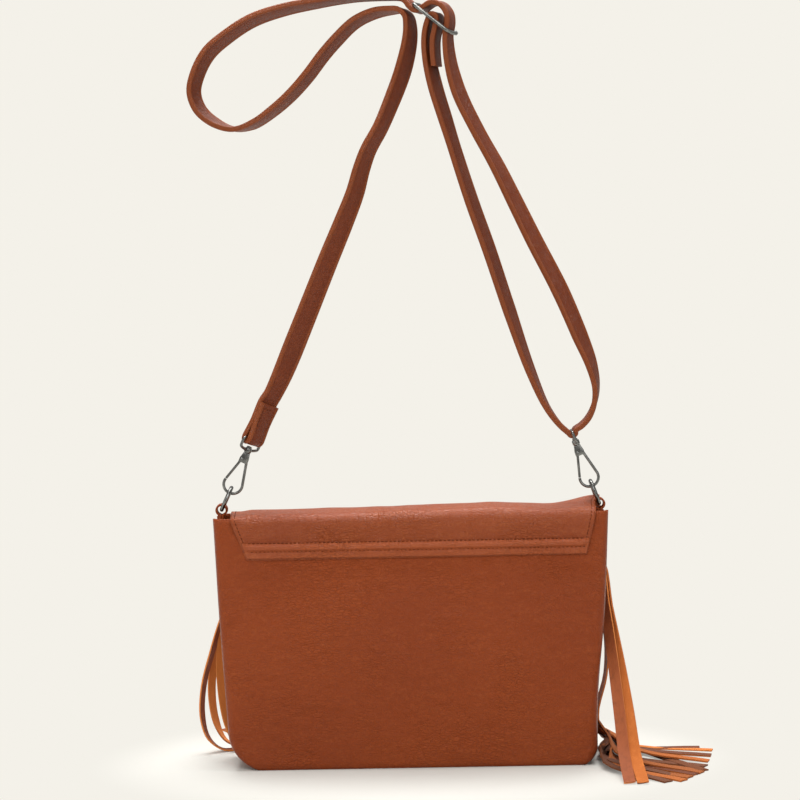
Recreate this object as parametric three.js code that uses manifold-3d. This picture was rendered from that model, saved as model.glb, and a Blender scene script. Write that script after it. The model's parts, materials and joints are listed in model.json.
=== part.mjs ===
// Soft shoulder bag with a fold-over flap, long cut fringe and a clip-on strap.
// Millimetres, +Z up. Origin on the floor under the middle of the base.
// -Y is the back of the bag (the side with the flap seam), +Y the fringed front.
import * as THREE from 'three';
import Module from 'manifold-3d';
import { mergeVertices } from 'three/addons/utils/BufferGeometryUtils.js';

const wasm = await Module();
wasm.setup();

// Bag body
const BODY_HEIGHT = 180;
const TOP_WIDTH = 274;
const BASE_WIDTH = 255;
const BASE_DEPTH = 54;
const TOP_DEPTH = 34;
const CORNER_RADIUS = 22;
const LEATHER = 1.6;
const PUFF = 7;
const GAP = 0.3;
const GUSSET_DROP = 4;
const LINING_DROP = 9;
const LINING = 0.8;
const LINING_GAP = 0.175;

// Flap, its sewn seam strip and the hidden magnetic snap
const FLAP_SHIFT = 2.5;
const FLAP_HALF_SEAM = 117.5;
const FLAP_HALF_FOLD = 124.5;
const FLAP_HALF_FRONT = 127.5;
const FLAP_BACK_DROP = 31;
const FLAP_FRONT_DROP = 38;
const FLAP_BACK_OFFSET = 0.7;
const FLAP_FRONT_OFFSET = 3.4;
const CROWN = 5;
const STRIP_WIDTH = 10.5;
const STRIP_THICK = 1.4;
const SNAP_RADIUS = 6.5;
const SNAP_DROP = 14;
const SNAP_THICK = 1.2;

// Fringe
const FRINGE_COUNT = 28;
const FRINGE_THICK = 1.2;
const FRINGE_FILL = 0.88;
const FRINGE_LENGTH = 246;
const FRINGE_HEADER = 12;
const FRINGE_RISE = 8;
const ROOT_STEP = 11;
const FRINGE_FLOOR = 0.9;

// Side tabs, rings and swivel hooks
const TAB_WIDTH = 8;
const TAB_THICK = 1.4;
const TAB_LEG = 14;
const TAB_GAP = 0.213889;
const RING_SLACK = 0.5;
const RING_WIRE = 1.4;
const RING_RADIUS = 8.5;
const CHAIN_TILT_LEFT = 25;
const CHAIN_TILT_RIGHT = -20;
const HOOK_WIRE = 1;
const HOOK_LENGTH = 33;
const HOOK_THICK = 4;
const BOW_RADIUS = 6.6;
const BOW_SLACK = 1.5;
const BLOCK_HEIGHT = 7.5;
const BLOCK_BASE = 6.6;
const BLOCK_TOP = 4.4;
const GATE_WIRE = 0.9;
const KNUCKLE_RADIUS = 1.7;
const SLOT_CLEARANCE = 0.25;
const PIN_RADIUS = 0.7;
const PIN_CLEARANCE = 0.15;
const POST_RADIUS = 1.2;
const POST_CLEARANCE = 0.3;
const COLLAR_RADIUS = 2.7;
const COLLAR_HEIGHT = 3.4;
const EYE_RISE = 8.5;
const EYE_WIRE = 1;

// Strap and slider
const STRAP_WIDTH = 15;
const STRAP_THICK = 2.6;
const STRAP_FOLD = 27;
const EYE_SPAN = STRAP_WIDTH + 1.6;
const SLIDER_LENGTH = 36;
const SLIDER_RAIL = 2.6;
const SLIDER_WIDTH = STRAP_WIDTH + 2 * SLIDER_RAIL + 0.8;
const SLIDER_BAR = 1.3;
const SLIDER_X = 23;
const SLIDER_Z = 522;
const SLIDER_SLOPE = 38;

// Where the tab loops stand for the strap's points as they are listed
const STRAP_SPAN = 133.1;
const STRAP_DATUM = 181;
const STRAP_CALM = 480;

// Middle line of the strap: x, y, z and the turn of its width away from Y in degrees.
// From the left hook up to the hanging fold, round the bight and into the slider
const STRAP_RISE = [
  [-94, 1, 263, 78], [-75, 0, 307, 68], [-54, 0, 357, 60], [-44, 0, 380, 54], [-35, 0, 402, 46],
  [-30, 0, 419, 40], [-25, 0, 432, 36], [-16, 0, 448, 32], [-7, 0, 470, 28], [0, 0, 491, 22],
  [4, 0, 508, 14], [4.5, 0, 518, 8], [3, 0, 525, 3], [-2, 0, 529, 0], [-9, 0, 529, -4],
  [-19, 0, 527, -12], [-33, 0, 520, -18], [-45, 0, 509, -20], [-55, 0, 498, -20], [-66, 0, 484, -20],
  [-78, 0, 471, -18], [-91, 0, 460, -14], [-105, 0, 451, -8], [-119, 0, 448, 4], [-132, 0, 453, 14],
  [-142, 0, 462, 18], [-146, 0, 474, 20], [-143, 0, 487, 20], [-135, 0, 501, 20], [-122, 0, 512, 18],
  [-104, 0, 523, 16], [-82, 0, 530, 13], [-60, 0, 534, 10], [-37, 0, 537, 6], [-16, 0, 538, 2],
  [-3, 0, 537.5, 0], [3, 0, 535, 0], [6.3, 0, 530.8, 0], [10.5, 0, 528, 0], [16, 0, 530, 0],
  [22, 0, 533, 0], [28.5, 0, 531.5, 0], [33, 0, 526, 0], [34, 0, 519, 0], [32.4, 0, 511, 0],
  [32.6, 0, 502, -3], [34.5, 0, 489, -8], [40, 0, 469, -20], [51, 0, 445, -28], [65, 0, 419, -35],
  [78, 0, 392, -40], [90, 0, 367, -43], [108, 0, 331, -45], [121, 0, 300, -40], [129, 0, 279, -26],
  [132, 0, 263, -12], [130.5, 0, 251, -5], [126.5, 0, 242, -1], [121.5, 0, 236.5, 0],
];
// From the right hook back up to the slider's middle bar, where it is sewn round
const STRAP_RETURN = [
  [106, 0, 237, 1], [97, 0, 250, 7], [86, 0, 276, 18], [72, 0, 318, 28], [58, 0, 362, 30],
  [47, 0, 394, 30], [37, 0, 426, 28], [29, 0, 453, 24], [22, 0, 477, 16], [18, 0, 496, 8],
  [17, 0, 508, 2], [18, 0, 516, 0],
];
const STRAP_TAIL = [[25, 0, 516, 0], [23, 0, 508, 0], [22.8, 0, 498, 0], [23.6, 0, 489, 0]];

// Loose fringe strips at both ends of the flap. Each root gives its inset from the flap's end,
// its distance off the front panel and its turn; each free point gives how far it stands
// out from the side of the panels, then y, z and turn
const LOOSE_STRIPS = [
  {
    side: -1,
    roots: [[8, 2.5597, 0], [7, 1.7445, 5]],
    free: [[3.2222, 29, 100, 45], [13.5944, 31, 74, 60], [21.8611, 31, 50, 65], [25.0222, 31, 28, 70],
      [20.9194, 34, 11, 85], [11.4156, 38, 1.6, 110], [-3.5475, 45, FRINGE_FLOOR, 115],
      [-24.5475, 55, FRINGE_FLOOR, 115]],
  },
  {
    side: -1,
    roots: [[15, 2.6115, 0], [14, 1.6872, 5]],
    free: [[-0.7778, 31, 100, 30], [7.5944, 34, 74, 35], [9.0722, 33, 46, 40], [9.2333, 34, 24, 55],
      [4.0778, 38, 8, 95], [-6.5633, 44, 1.2, 125], [-23.5475, 60, FRINGE_FLOOR, 135],
      [-39.5475, 80, FRINGE_FLOOR, 138]],
  },
  {
    side: 1,
    roots: [[21, 2.5911, 0], [20, 1.6517, -5]],
    free: [[-1.2, 32, 108, -50], [7.5417, 29, 75, -60], [7.5722, 29, 46, -60], [7.4444, 32, 20, -60],
      [13.2889, 37, 4, -70], [30.4525, 40, FRINGE_FLOOR, -85], [77.4525, 26, FRINGE_FLOOR, -95]],
  },
  {
    side: 1,
    roots: [[14, 2.538, 0], [12, 1.6445, -5]],
    free: [[4.85, 29, 126, -30], [9.775, 10, 99, -30], [12.0167, -13, 66, -25], [14.7056, -36, 34, -20],
      [16.4722, -54, 10, -20], [17.4367, -72, 1.2, -15]],
  },
  {
    side: 1,
    roots: [[7, 2.4939, 0], [5, 1.7175, -5]],
    free: [[8.5861, 30, 131, -30], [15.9861, 9, 95, -30], [21.2806, -14, 61, -25], [24.6528, -36, 35, -20],
      [27.9194, -56, 11, -20], [30.4367, -76, 1.2, -15]],
  },
];

const X = new THREE.Vector3(1, 0, 0);
const Y = new THREE.Vector3(0, 1, 0);
const Z = new THREE.Vector3(0, 0, 1);
const rad = THREE.MathUtils.degToRad;
const lerp = THREE.MathUtils.lerp;

const bag = new THREE.Group();

function addPart(name, geometry, colour, roughness, metalness) {
  const material = new THREE.MeshStandardMaterial({ color: colour, roughness, metalness });
  const mesh = new THREE.Mesh(geometry, material);
  mesh.name = name;
  bag.add(mesh);
}

function addLeather(name, geometry) {
  addPart(name, geometry, 0x8c4124, 0.55, 0);
}

function addMetal(name, geometry) {
  addPart(name, geometry, 0x4a4745, 0.3, 1);
}

// Solid adding and cutting
function solid(geometry) {
  const bare = geometry.clone();
  bare.deleteAttribute('normal');
  bare.deleteAttribute('uv');
  const welded = mergeVertices(bare, 1e-4);
  return new wasm.Manifold(new wasm.Mesh({
    numProp: 3,
    vertProperties: new Float32Array(welded.attributes.position.array),
    triVerts: new Uint32Array(welded.index.array),
  }));
}

function fromSolid(body) {
  const mesh = body.getMesh();
  const geometry = new THREE.BufferGeometry();
  geometry.setAttribute('position', new THREE.BufferAttribute(mesh.vertProperties, 3));
  geometry.setIndex(new THREE.BufferAttribute(mesh.triVerts, 1));
  geometry.computeVertexNormals();
  return geometry;
}

function join(first, ...others) {
  let body = solid(first);
  for (const other of others) body = body.add(solid(other));
  return fromSolid(body);
}

function cut(first, ...tools) {
  let body = solid(first);
  for (const tool of tools) body = body.subtract(solid(tool));
  return fromSolid(body);
}

function common(first, second) {
  return fromSolid(solid(first).intersect(solid(second)));
}

// Moves every corner of a geometry through a function of its own coordinates
function reshape(geometry, place) {
  const position = geometry.attributes.position;
  const corner = new THREE.Vector3();
  for (let i = 0; i < position.count; i += 1) {
    corner.fromBufferAttribute(position, i);
    const moved = place(corner.x, corner.y, corner.z);
    position.setXYZ(i, moved.x, moved.y, moved.z);
  }
  geometry.computeVertexNormals();
  return geometry;
}

// Outer face of the front and back panels, measured from the middle of the bag
function halfDepth(z) {
  const part = THREE.MathUtils.clamp(z / BODY_HEIGHT, 0, 1);
  return lerp(BASE_DEPTH, TOP_DEPTH, part) / 2;
}

function puff(x, z) {
  const part = THREE.MathUtils.clamp(z / BODY_HEIGHT, 0, 1);
  const across = Math.max(0, 1 - (2 * x / TOP_WIDTH) ** 2);
  return PUFF * across * Math.sin(Math.PI * part) ** 2;
}

// Sides of the panels, measured from the middle of the bag
function halfWidth(z) {
  const part = THREE.MathUtils.clamp(z / BODY_HEIGHT, 0, 1);
  return lerp(BASE_WIDTH, TOP_WIDTH, part) / 2;
}

function face(x, z) {
  return halfDepth(z) + puff(x, z);
}

// Outline of the body seen from the front, drawn in by an inset
function bodyOutline(inset, top) {
  const halfTop = TOP_WIDTH / 2 - inset;
  const halfBase = BASE_WIDTH / 2 - inset;
  const round = CORNER_RADIUS - inset;
  const lean = (halfTop - halfBase) * (round / BODY_HEIGHT);
  const above = (halfTop - halfBase) * (top / BODY_HEIGHT);
  const shape = new THREE.Shape();
  shape.moveTo(-halfBase - above, top);
  shape.lineTo(-halfBase - lean, inset + round);
  shape.quadraticCurveTo(-halfBase, inset, -halfBase + round, inset);
  shape.lineTo(halfBase - round, inset);
  shape.quadraticCurveTo(halfBase, inset, halfBase + lean, inset + round);
  shape.lineTo(halfBase + above, top);
  shape.closePath();
  return shape;
}

// A shape drawn in X and Z, pulled along Y and centred on it
function alongY(shape, depth, curveSegments) {
  const geometry = new THREE.ExtrudeGeometry(shape, { depth, bevelEnabled: false, curveSegments });
  geometry.translate(0, 0, -depth / 2);
  geometry.rotateX(Math.PI / 2);
  return geometry;
}

function bodyPrism(inset, top) {
  return alongY(bodyOutline(inset, top), 4 * BASE_DEPTH, 6);
}

// The room between the panels, drawn in from their outer faces
function wedge(inset, top) {
  const base = BASE_DEPTH / 2 - inset;
  const upper = lerp(BASE_DEPTH, TOP_DEPTH, top / BODY_HEIGHT) / 2 - inset;
  const shape = new THREE.Shape();
  shape.moveTo(-base, 0);
  shape.lineTo(base, 0);
  shape.lineTo(upper, top);
  shape.lineTo(-upper, top);
  shape.closePath();
  const geometry = new THREE.ExtrudeGeometry(shape, { depth: 2 * TOP_WIDTH, bevelEnabled: false });
  geometry.translate(0, 0, -TOP_WIDTH);
  geometry.rotateX(Math.PI / 2);
  geometry.rotateZ(Math.PI / 2);
  return geometry;
}

// A sheet lying on the back (side -1) or front (side 1) panel between two heights
function panelSheet(side, low, high, halfLow, halfHigh, middle, offset, thick, across, up) {
  const box = new THREE.BoxGeometry(1, 1, 1, across, 1, up);
  return reshape(box, (u, v, w) => {
    const z = lerp(low, high, w + 0.5);
    const x = middle + 2 * u * lerp(halfLow, halfHigh, w + 0.5);
    const layer = side > 0 ? v + 0.5 : 0.5 - v;
    return new THREE.Vector3(x, side * (face(x, z) + offset + layer * thick), z);
  });
}

function panel(side) {
  const half = TOP_WIDTH / 2 + 2;
  const sheet = panelSheet(side, -2, BODY_HEIGHT, half, half, 0, -LEATHER, LEATHER, 12, 10);
  return common(sheet, bodyPrism(0, BODY_HEIGHT));
}

function gusset() {
  const wall = cut(bodyPrism(0, BODY_HEIGHT - GUSSET_DROP), bodyPrism(LEATHER, BODY_HEIGHT));
  return common(wall, wedge(LEATHER + GAP, BODY_HEIGHT));
}

function lining() {
  const top = BODY_HEIGHT - LINING_DROP;
  const inset = halfWidth(top) - TAB_X + TAB_THICK + LINING_GAP;
  const depthInset = LEATHER + GAP;
  const outer = common(bodyPrism(inset, top), wedge(depthInset, BODY_HEIGHT));
  const inner = common(bodyPrism(inset + LINING, BODY_HEIGHT), wedge(depthInset + LINING, BODY_HEIGHT));
  return cut(outer, inner);
}

// Flap: up the back from its seam, over the crown and down the front
function flap() {
  const low = BODY_HEIGHT - FLAP_BACK_DROP;
  const front = BODY_HEIGHT - FLAP_FRONT_DROP;
  const backTop = -halfDepth(BODY_HEIGHT) - FLAP_BACK_OFFSET;
  const frontTop = halfDepth(BODY_HEIGHT) + FLAP_FRONT_OFFSET;
  const path = new THREE.Path();
  path.moveTo(-halfDepth(low) - FLAP_BACK_OFFSET, low);
  path.lineTo(backTop, BODY_HEIGHT);
  const middle = (backTop + frontTop) / 2;
  path.absellipse(middle, BODY_HEIGHT, frontTop - middle, CROWN, Math.PI, 0, true);
  path.lineTo(halfDepth(front) + FLAP_FRONT_OFFSET, front);
  const length = path.getLength();
  const box = new THREE.BoxGeometry(1, 1, 1, 8, 1, 24);
  return reshape(box, (u, v, w) => {
    const part = w + 0.5;
    const spot = path.getPointAt(part);
    const along = path.getTangentAt(part);
    const onBack = THREE.MathUtils.clamp(part * length / FLAP_BACK_DROP, 0, 1);
    const onFront = THREE.MathUtils.clamp((part * length - FLAP_BACK_DROP) / FLAP_FRONT_DROP / 2, 0, 1);
    const half = lerp(lerp(FLAP_HALF_SEAM, FLAP_HALF_FOLD, onBack), FLAP_HALF_FRONT, onFront);
    const x = FLAP_SHIFT + 2 * u * half;
    const layer = (0.5 - v) * LEATHER;
    const y = spot.x - along.y * layer;
    const z = spot.y + along.x * layer;
    return new THREE.Vector3(x, y + Math.sign(spot.x) * puff(x, z), z);
  });
}

function seamStrip() {
  const low = BODY_HEIGHT - FLAP_BACK_DROP;
  const slope = (FLAP_HALF_FOLD - FLAP_HALF_SEAM) * (STRIP_WIDTH / FLAP_BACK_DROP);
  const offset = FLAP_BACK_OFFSET + LEATHER + GAP;
  return panelSheet(-1, low, low + STRIP_WIDTH, FLAP_HALF_SEAM, FLAP_HALF_SEAM + slope,
    FLAP_SHIFT, offset, STRIP_THICK, 8, 2);
}

// Round half of the snap lying on the front panel at a given offset
function snapHalf(offset) {
  const z = BODY_HEIGHT - SNAP_DROP;
  const slope = (face(0, z + 1) - face(0, z - 1)) / 2;
  const disc = new THREE.CylinderGeometry(SNAP_RADIUS, SNAP_RADIUS, SNAP_THICK, 24);
  disc.translate(0, SNAP_THICK / 2, 0);
  disc.rotateX(-Math.atan(slope));
  disc.translate(0, face(0, z) + offset, z);
  return disc;
}

// A flat band bent along a route of [x, y, z, turn] points. Its width starts along firstSide
// and follows the bends, or without one stays level at the turn's own bearing
function band(route, width, thick, stepsEach, firstSide) {
  const points = route.map(([x, y, z]) => new THREE.Vector3(x, y, z));
  const curve = new THREE.CatmullRomCurve3(points, false, 'centripetal');
  const steps = (route.length - 1) * stepsEach;
  const stations = [];
  const side = firstSide ? firstSide.clone() : X.clone();
  let last = null;
  for (let i = 0; i <= steps; i += 1) {
    const along = curve.getTangent(i / steps);
    const spot = Math.min(Math.floor(i / stepsEach), route.length - 2);
    const turn = rad(lerp(route[spot][3], route[spot + 1][3], i / stepsEach - spot));
    const across = new THREE.Vector3(Math.cos(turn), Math.sin(turn), 0);
    if (firstSide) {
      if (last) side.applyQuaternion(new THREE.Quaternion().setFromUnitVectors(last, along));
      const other = new THREE.Vector3().crossVectors(side, along);
      across.copy(side).multiplyScalar(Math.cos(turn)).addScaledVector(other, Math.sin(turn));
    }
    across.addScaledVector(along, -across.dot(along)).normalize();
    last = along;
    const out = new THREE.Vector3().crossVectors(along, across);
    stations.push({ place: curve.getPoint(i / steps), across, out });
  }
  const box = new THREE.BoxGeometry(1, 1, 1, 1, 1, steps);
  return reshape(box, (u, v, w) => {
    const { place, across, out } = stations[Math.round((w + 0.5) * steps)];
    return place.clone().addScaledVector(across, u * width).addScaledVector(out, v * thick);
  });
}

const FRINGE_TOP = BODY_HEIGHT - FLAP_FRONT_DROP + FRINGE_RISE;

// One regular strip: down over the front, then out over the floor at its own heading
function hangingStrip(index) {
  const part = (index + 0.5) / FRINGE_COUNT;
  const x = FLAP_SHIFT + (2 * part - 1) * (FLAP_HALF_FRONT - 2);
  const end = Math.max(0, (part - 0.62) / 0.38);
  const heading = -28 + 46 * part + 62 * end + 4 * Math.sin(2.4 * index);
  const sway = 2 * Math.sin(1.7 * index);
  const lie = FRINGE_LENGTH - 158 + 12 * Math.sin(3.1 * index);
  const goX = Math.sin(rad(heading));
  const goY = Math.cos(rad(heading));
  const footX = x + sway;
  const footY = face(x, 10) + 11;
  const turn = -heading;
  const hung = (z, away, share) => [x + sway * share, face(x, z) + away, z, turn * share];
  const laid = (far, z) => [footX + goX * far, footY + goY * far, z, turn];
  return [
    hung(FRINGE_TOP, FLAP_FRONT_OFFSET - GAP - FRINGE_THICK / 2, 0),
    hung(FRINGE_TOP - 12, FLAP_FRONT_OFFSET - 1.1, 0),
    hung(95, 3.4, 0.4),
    hung(45, 5.5, 0.7),
    [footX, footY, 12, turn],
    laid(9, 2),
    laid(lie / 2, FRINGE_FLOOR),
    laid(lie, FRINGE_FLOOR),
  ];
}

// One loose strip: rooted under the flap's front edge, then along its own free points
function looseRoute({ side, roots, free }) {
  const rooted = roots.map(([inset, away, turn], i) => {
    const x = FLAP_SHIFT + side * (FLAP_HALF_FRONT - inset);
    const z = FRINGE_TOP - i * ROOT_STEP;
    return [x, face(x, z) + away, z, turn];
  });
  const loose = free.map(([out, y, z, turn]) => [side * (halfWidth(z) + out), y, z, turn]);
  return [...rooted, ...loose];
}

function fringe() {
  const low = BODY_HEIGHT - FLAP_FRONT_DROP;
  const half = FLAP_HALF_FRONT - 1.5;
  const offset = FLAP_FRONT_OFFSET - GAP - FRINGE_THICK;
  const header = panelSheet(1, low + 2, low + 2 + FRINGE_HEADER, half, half, FLAP_SHIFT,
    offset, FRINGE_THICK, 10, 2);
  const width = 2 * FLAP_HALF_FRONT / FRINGE_COUNT * FRINGE_FILL;
  const strips = LOOSE_STRIPS.map((strip) => band(looseRoute(strip), width, FRINGE_THICK, 1));
  for (let i = 2; i < FRINGE_COUNT - 3; i += 1) {
    strips.push(band(hangingStrip(i), width, FRINGE_THICK, 1));
  }
  return join(header, ...strips);
}

// Side tabs and everything clipped to them, drawn in the hook's own frame:
// origin in the tab's loop, Z along the pull, X across the hook
const RING_BOW = RING_RADIUS - Math.sqrt(RING_RADIUS ** 2 - (TAB_WIDTH / 2) ** 2);
const LOOP_INNER = RING_WIRE + RING_BOW + RING_SLACK;
const LOOP_OUTER = LOOP_INNER + TAB_THICK;
const TAB_Z = BODY_HEIGHT - GUSSET_DROP + LOOP_OUTER + 0.7;
const TAB_X = halfWidth(TAB_Z - TAB_LEG) - LEATHER - TAB_GAP - TAB_THICK;
const BOW_BOTTOM = 2 * RING_RADIUS - RING_WIRE - HOOK_WIRE - BOW_SLACK;
const BOW_Z = BOW_BOTTOM + BOW_RADIUS;
const SWIVEL_Z = BOW_BOTTOM + HOOK_LENGTH;
const BLOCK_TOP_Z = SWIVEL_Z - COLLAR_HEIGHT / 2 - POST_CLEARANCE;
const BLOCK_LOW_Z = BLOCK_TOP_Z - BLOCK_HEIGHT;
const PIVOT_X = -1.6;
const PIVOT_Z = BLOCK_LOW_Z + 2.2;
const EYE_Z = SWIVEL_Z + EYE_RISE;

function chainFrame(side, tilt) {
  const turn = new THREE.Matrix4().makeRotationY(rad(tilt));
  return new THREE.Matrix4().makeTranslation(side * TAB_X, 0, TAB_Z).multiply(turn);
}

function tab() {
  const leg = TAB_THICK;
  const start = Math.asin(leg / LOOP_OUTER);
  const shape = new THREE.Shape();
  shape.moveTo(leg, -TAB_LEG);
  shape.lineTo(leg, -LOOP_OUTER * Math.cos(start));
  shape.absarc(0, 0, LOOP_OUTER, start - Math.PI / 2, 1.5 * Math.PI - start, false);
  shape.lineTo(-leg, -TAB_LEG);
  shape.closePath();
  const hole = new THREE.Path();
  hole.absarc(0, 0, LOOP_INNER, 0, 2 * Math.PI, true);
  shape.holes.push(hole);
  return alongY(shape, TAB_WIDTH, 8);
}

function ring() {
  const geometry = new THREE.TorusGeometry(RING_RADIUS, RING_WIRE, 8, 28);
  geometry.rotateY(Math.PI / 2);
  geometry.translate(0, 0, RING_RADIUS);
  return geometry;
}

// Round wire along a flat path drawn in X and Z
function wire(path, radius, steps) {
  const points = path.getSpacedPoints(steps).map((p) => new THREE.Vector3(p.x, 0, p.y));
  const curve = new THREE.CatmullRomCurve3(points, false, 'centripetal');
  const shape = new THREE.Shape();
  shape.absarc(0, 0, radius, 0, 2 * Math.PI, false);
  return new THREE.ExtrudeGeometry(shape, {
    steps, extrudePath: curve, bevelEnabled: false, curveSegments: 4,
  });
}

// Angle on the bow where a straight line from a point above it touches
function touchAngle(x, z) {
  const rise = z - BOW_Z;
  return Math.atan2(rise, Math.abs(x)) - Math.acos(BOW_RADIUS / Math.hypot(x, rise));
}

function post() {
  const top = SWIVEL_Z + COLLAR_HEIGHT / 2 + POST_CLEARANCE;
  const profile = [
    new THREE.Vector2(0, BLOCK_TOP_Z - 1),
    new THREE.Vector2(POST_RADIUS, BLOCK_TOP_Z - 1),
    new THREE.Vector2(POST_RADIUS, top),
    new THREE.Vector2(POST_RADIUS + 0.9, top),
    new THREE.Vector2(POST_RADIUS + 0.6, top + 1),
    new THREE.Vector2(0, top + 1),
  ];
  return new THREE.LatheGeometry(profile, 16).rotateX(Math.PI / 2);
}

function hookBody() {
  const startX = BLOCK_BASE / 2 - HOOK_WIRE;
  const startZ = BLOCK_LOW_Z + 1.5;
  const nose = touchAngle(PIVOT_X, PIVOT_Z);
  const touch = touchAngle(startX, startZ);
  const path = new THREE.Path();
  path.moveTo(startX, startZ);
  path.lineTo(BOW_RADIUS * Math.cos(touch), BOW_Z + BOW_RADIUS * Math.sin(touch));
  path.absarc(0, BOW_Z, BOW_RADIUS, touch, -Math.PI - nose, true);
  const shape = new THREE.Shape();
  shape.moveTo(-BLOCK_BASE / 2, BLOCK_LOW_Z);
  shape.lineTo(BLOCK_BASE / 2, BLOCK_LOW_Z);
  shape.lineTo(BLOCK_BASE / 2, BLOCK_LOW_Z + 3);
  shape.lineTo(BLOCK_TOP / 2, BLOCK_TOP_Z);
  shape.lineTo(-BLOCK_TOP / 2, BLOCK_TOP_Z);
  shape.lineTo(-BLOCK_BASE / 2, BLOCK_LOW_Z + 3);
  shape.closePath();
  const whole = join(alongY(shape, HOOK_THICK, 4), wire(path, HOOK_WIRE, 22), post());
  const slotWidth = 2 * GATE_WIRE + 2 * SLOT_CLEARANCE;
  const slot = new THREE.BoxGeometry(BLOCK_BASE, slotWidth, 5.4);
  slot.translate(0.2 - BLOCK_BASE / 2, 0, PIVOT_Z - 0.4);
  const bore = new THREE.CylinderGeometry(PIN_RADIUS + PIN_CLEARANCE, PIN_RADIUS + PIN_CLEARANCE, 20, 16);
  bore.translate(PIVOT_X, 0, PIVOT_Z);
  return cut(whole, slot, bore);
}

function gate() {
  const nose = Math.PI - touchAngle(PIVOT_X, PIVOT_Z);
  const tip = new THREE.Vector2(BOW_RADIUS * Math.cos(nose), BOW_Z + BOW_RADIUS * Math.sin(nose));
  const pivot = new THREE.Vector2(PIVOT_X, PIVOT_Z);
  tip.lerp(pivot, GAP * 1.5 / tip.distanceTo(pivot));
  const path = new THREE.Path();
  path.moveTo(tip.x, tip.y);
  path.lineTo(lerp(tip.x, pivot.x, 0.93), lerp(tip.y, pivot.y, 0.93));
  const knuckle = new THREE.CylinderGeometry(KNUCKLE_RADIUS, KNUCKLE_RADIUS, 2 * GATE_WIRE - 0.1, 20);
  knuckle.translate(PIVOT_X, 0, PIVOT_Z);
  const bore = new THREE.CylinderGeometry(PIN_RADIUS + PIN_CLEARANCE, PIN_RADIUS + PIN_CLEARANCE, 20, 16);
  bore.translate(PIVOT_X, 0, PIVOT_Z);
  return cut(join(wire(path, GATE_WIRE, 6), knuckle), bore);
}

function pin() {
  const half = HOOK_THICK / 2 + 0.2;
  const head = PIN_RADIUS + 0.5;
  const profile = [
    new THREE.Vector2(0, -half - 0.5),
    new THREE.Vector2(head, -half - 0.4),
    new THREE.Vector2(head, -half),
    new THREE.Vector2(PIN_RADIUS, -half),
    new THREE.Vector2(PIN_RADIUS, half),
    new THREE.Vector2(head, half),
    new THREE.Vector2(head, half + 0.4),
    new THREE.Vector2(0, half + 0.5),
  ];
  return new THREE.LatheGeometry(profile, 16).translate(PIVOT_X, 0, PIVOT_Z);
}

// Swivel eye: a collar round the post and a wire that carries the strap
function eye(turn) {
  const half = COLLAR_HEIGHT / 2;
  const bore = POST_RADIUS + POST_CLEARANCE;
  const profile = [
    new THREE.Vector2(bore, -half),
    new THREE.Vector2(COLLAR_RADIUS - 0.4, -half),
    new THREE.Vector2(COLLAR_RADIUS, 0),
    new THREE.Vector2(COLLAR_RADIUS - 0.4, half),
    new THREE.Vector2(bore, half),
    new THREE.Vector2(bore, -half),
  ];
  const collar = new THREE.LatheGeometry(profile, 20).rotateX(Math.PI / 2);
  collar.translate(0, 0, SWIVEL_Z);
  const leg = EYE_SPAN / 2 + EYE_WIRE;
  const inner = COLLAR_RADIUS - 0.3;
  const path = new THREE.Path();
  path.moveTo(inner, SWIVEL_Z);
  path.lineTo(leg - 2, SWIVEL_Z + 1);
  path.quadraticCurveTo(leg, SWIVEL_Z + 1.4, leg, SWIVEL_Z + 3.5);
  path.lineTo(leg, EYE_Z - 1.4);
  path.quadraticCurveTo(leg, EYE_Z, leg - 1.4, EYE_Z);
  path.lineTo(1.4 - leg, EYE_Z);
  path.quadraticCurveTo(-leg, EYE_Z, -leg, EYE_Z - 1.4);
  path.lineTo(-leg, SWIVEL_Z + 3.5);
  path.quadraticCurveTo(-leg, SWIVEL_Z + 1.4, 2 - leg, SWIVEL_Z + 1);
  path.lineTo(-inner, SWIVEL_Z);
  return join(collar, wire(path, EYE_WIRE, 32)).rotateZ(rad(turn));
}

// The strap's listed points rise with the tab loops and spread with them below the slider
function strapHeight(z) {
  return z + TAB_Z - STRAP_DATUM;
}

function strapPoint([x, y, z, turn]) {
  const share = THREE.MathUtils.clamp((STRAP_CALM - z) / (STRAP_CALM - STRAP_DATUM - EYE_Z), 0, 1);
  return [x + Math.sign(x) * (TAB_X - STRAP_SPAN) * share, y, strapHeight(z), turn];
}

function slider() {
  const frame = new THREE.Shape();
  const inside = new THREE.Path();
  const stadium = (path, length, width, radius) => {
    const x = length / 2 - radius;
    const y = width / 2 - radius;
    path.moveTo(-x, -width / 2);
    path.lineTo(x, -width / 2);
    path.absarc(x, -y, radius, -Math.PI / 2, 0, false);
    path.absarc(x, y, radius, 0, Math.PI / 2, false);
    path.absarc(-x, y, radius, Math.PI / 2, Math.PI, false);
    path.absarc(-x, -y, radius, Math.PI, 1.5 * Math.PI, false);
  };
  stadium(frame, SLIDER_LENGTH, SLIDER_WIDTH, 4);
  stadium(inside, SLIDER_LENGTH - 2 * SLIDER_RAIL, SLIDER_WIDTH - 2 * SLIDER_RAIL, 1.6);
  frame.holes.push(inside);
  const plate = new THREE.ExtrudeGeometry(frame, { depth: 2.4, bevelEnabled: false, curveSegments: 4 });
  plate.translate(0, 0, -1.2);
  const bar = new THREE.CylinderGeometry(SLIDER_BAR, SLIDER_BAR, SLIDER_WIDTH - SLIDER_RAIL, 14);
  return join(plate, bar).rotateY(rad(SLIDER_SLOPE)).translate(SLIDER_X, 0, strapHeight(SLIDER_Z));
}

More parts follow.
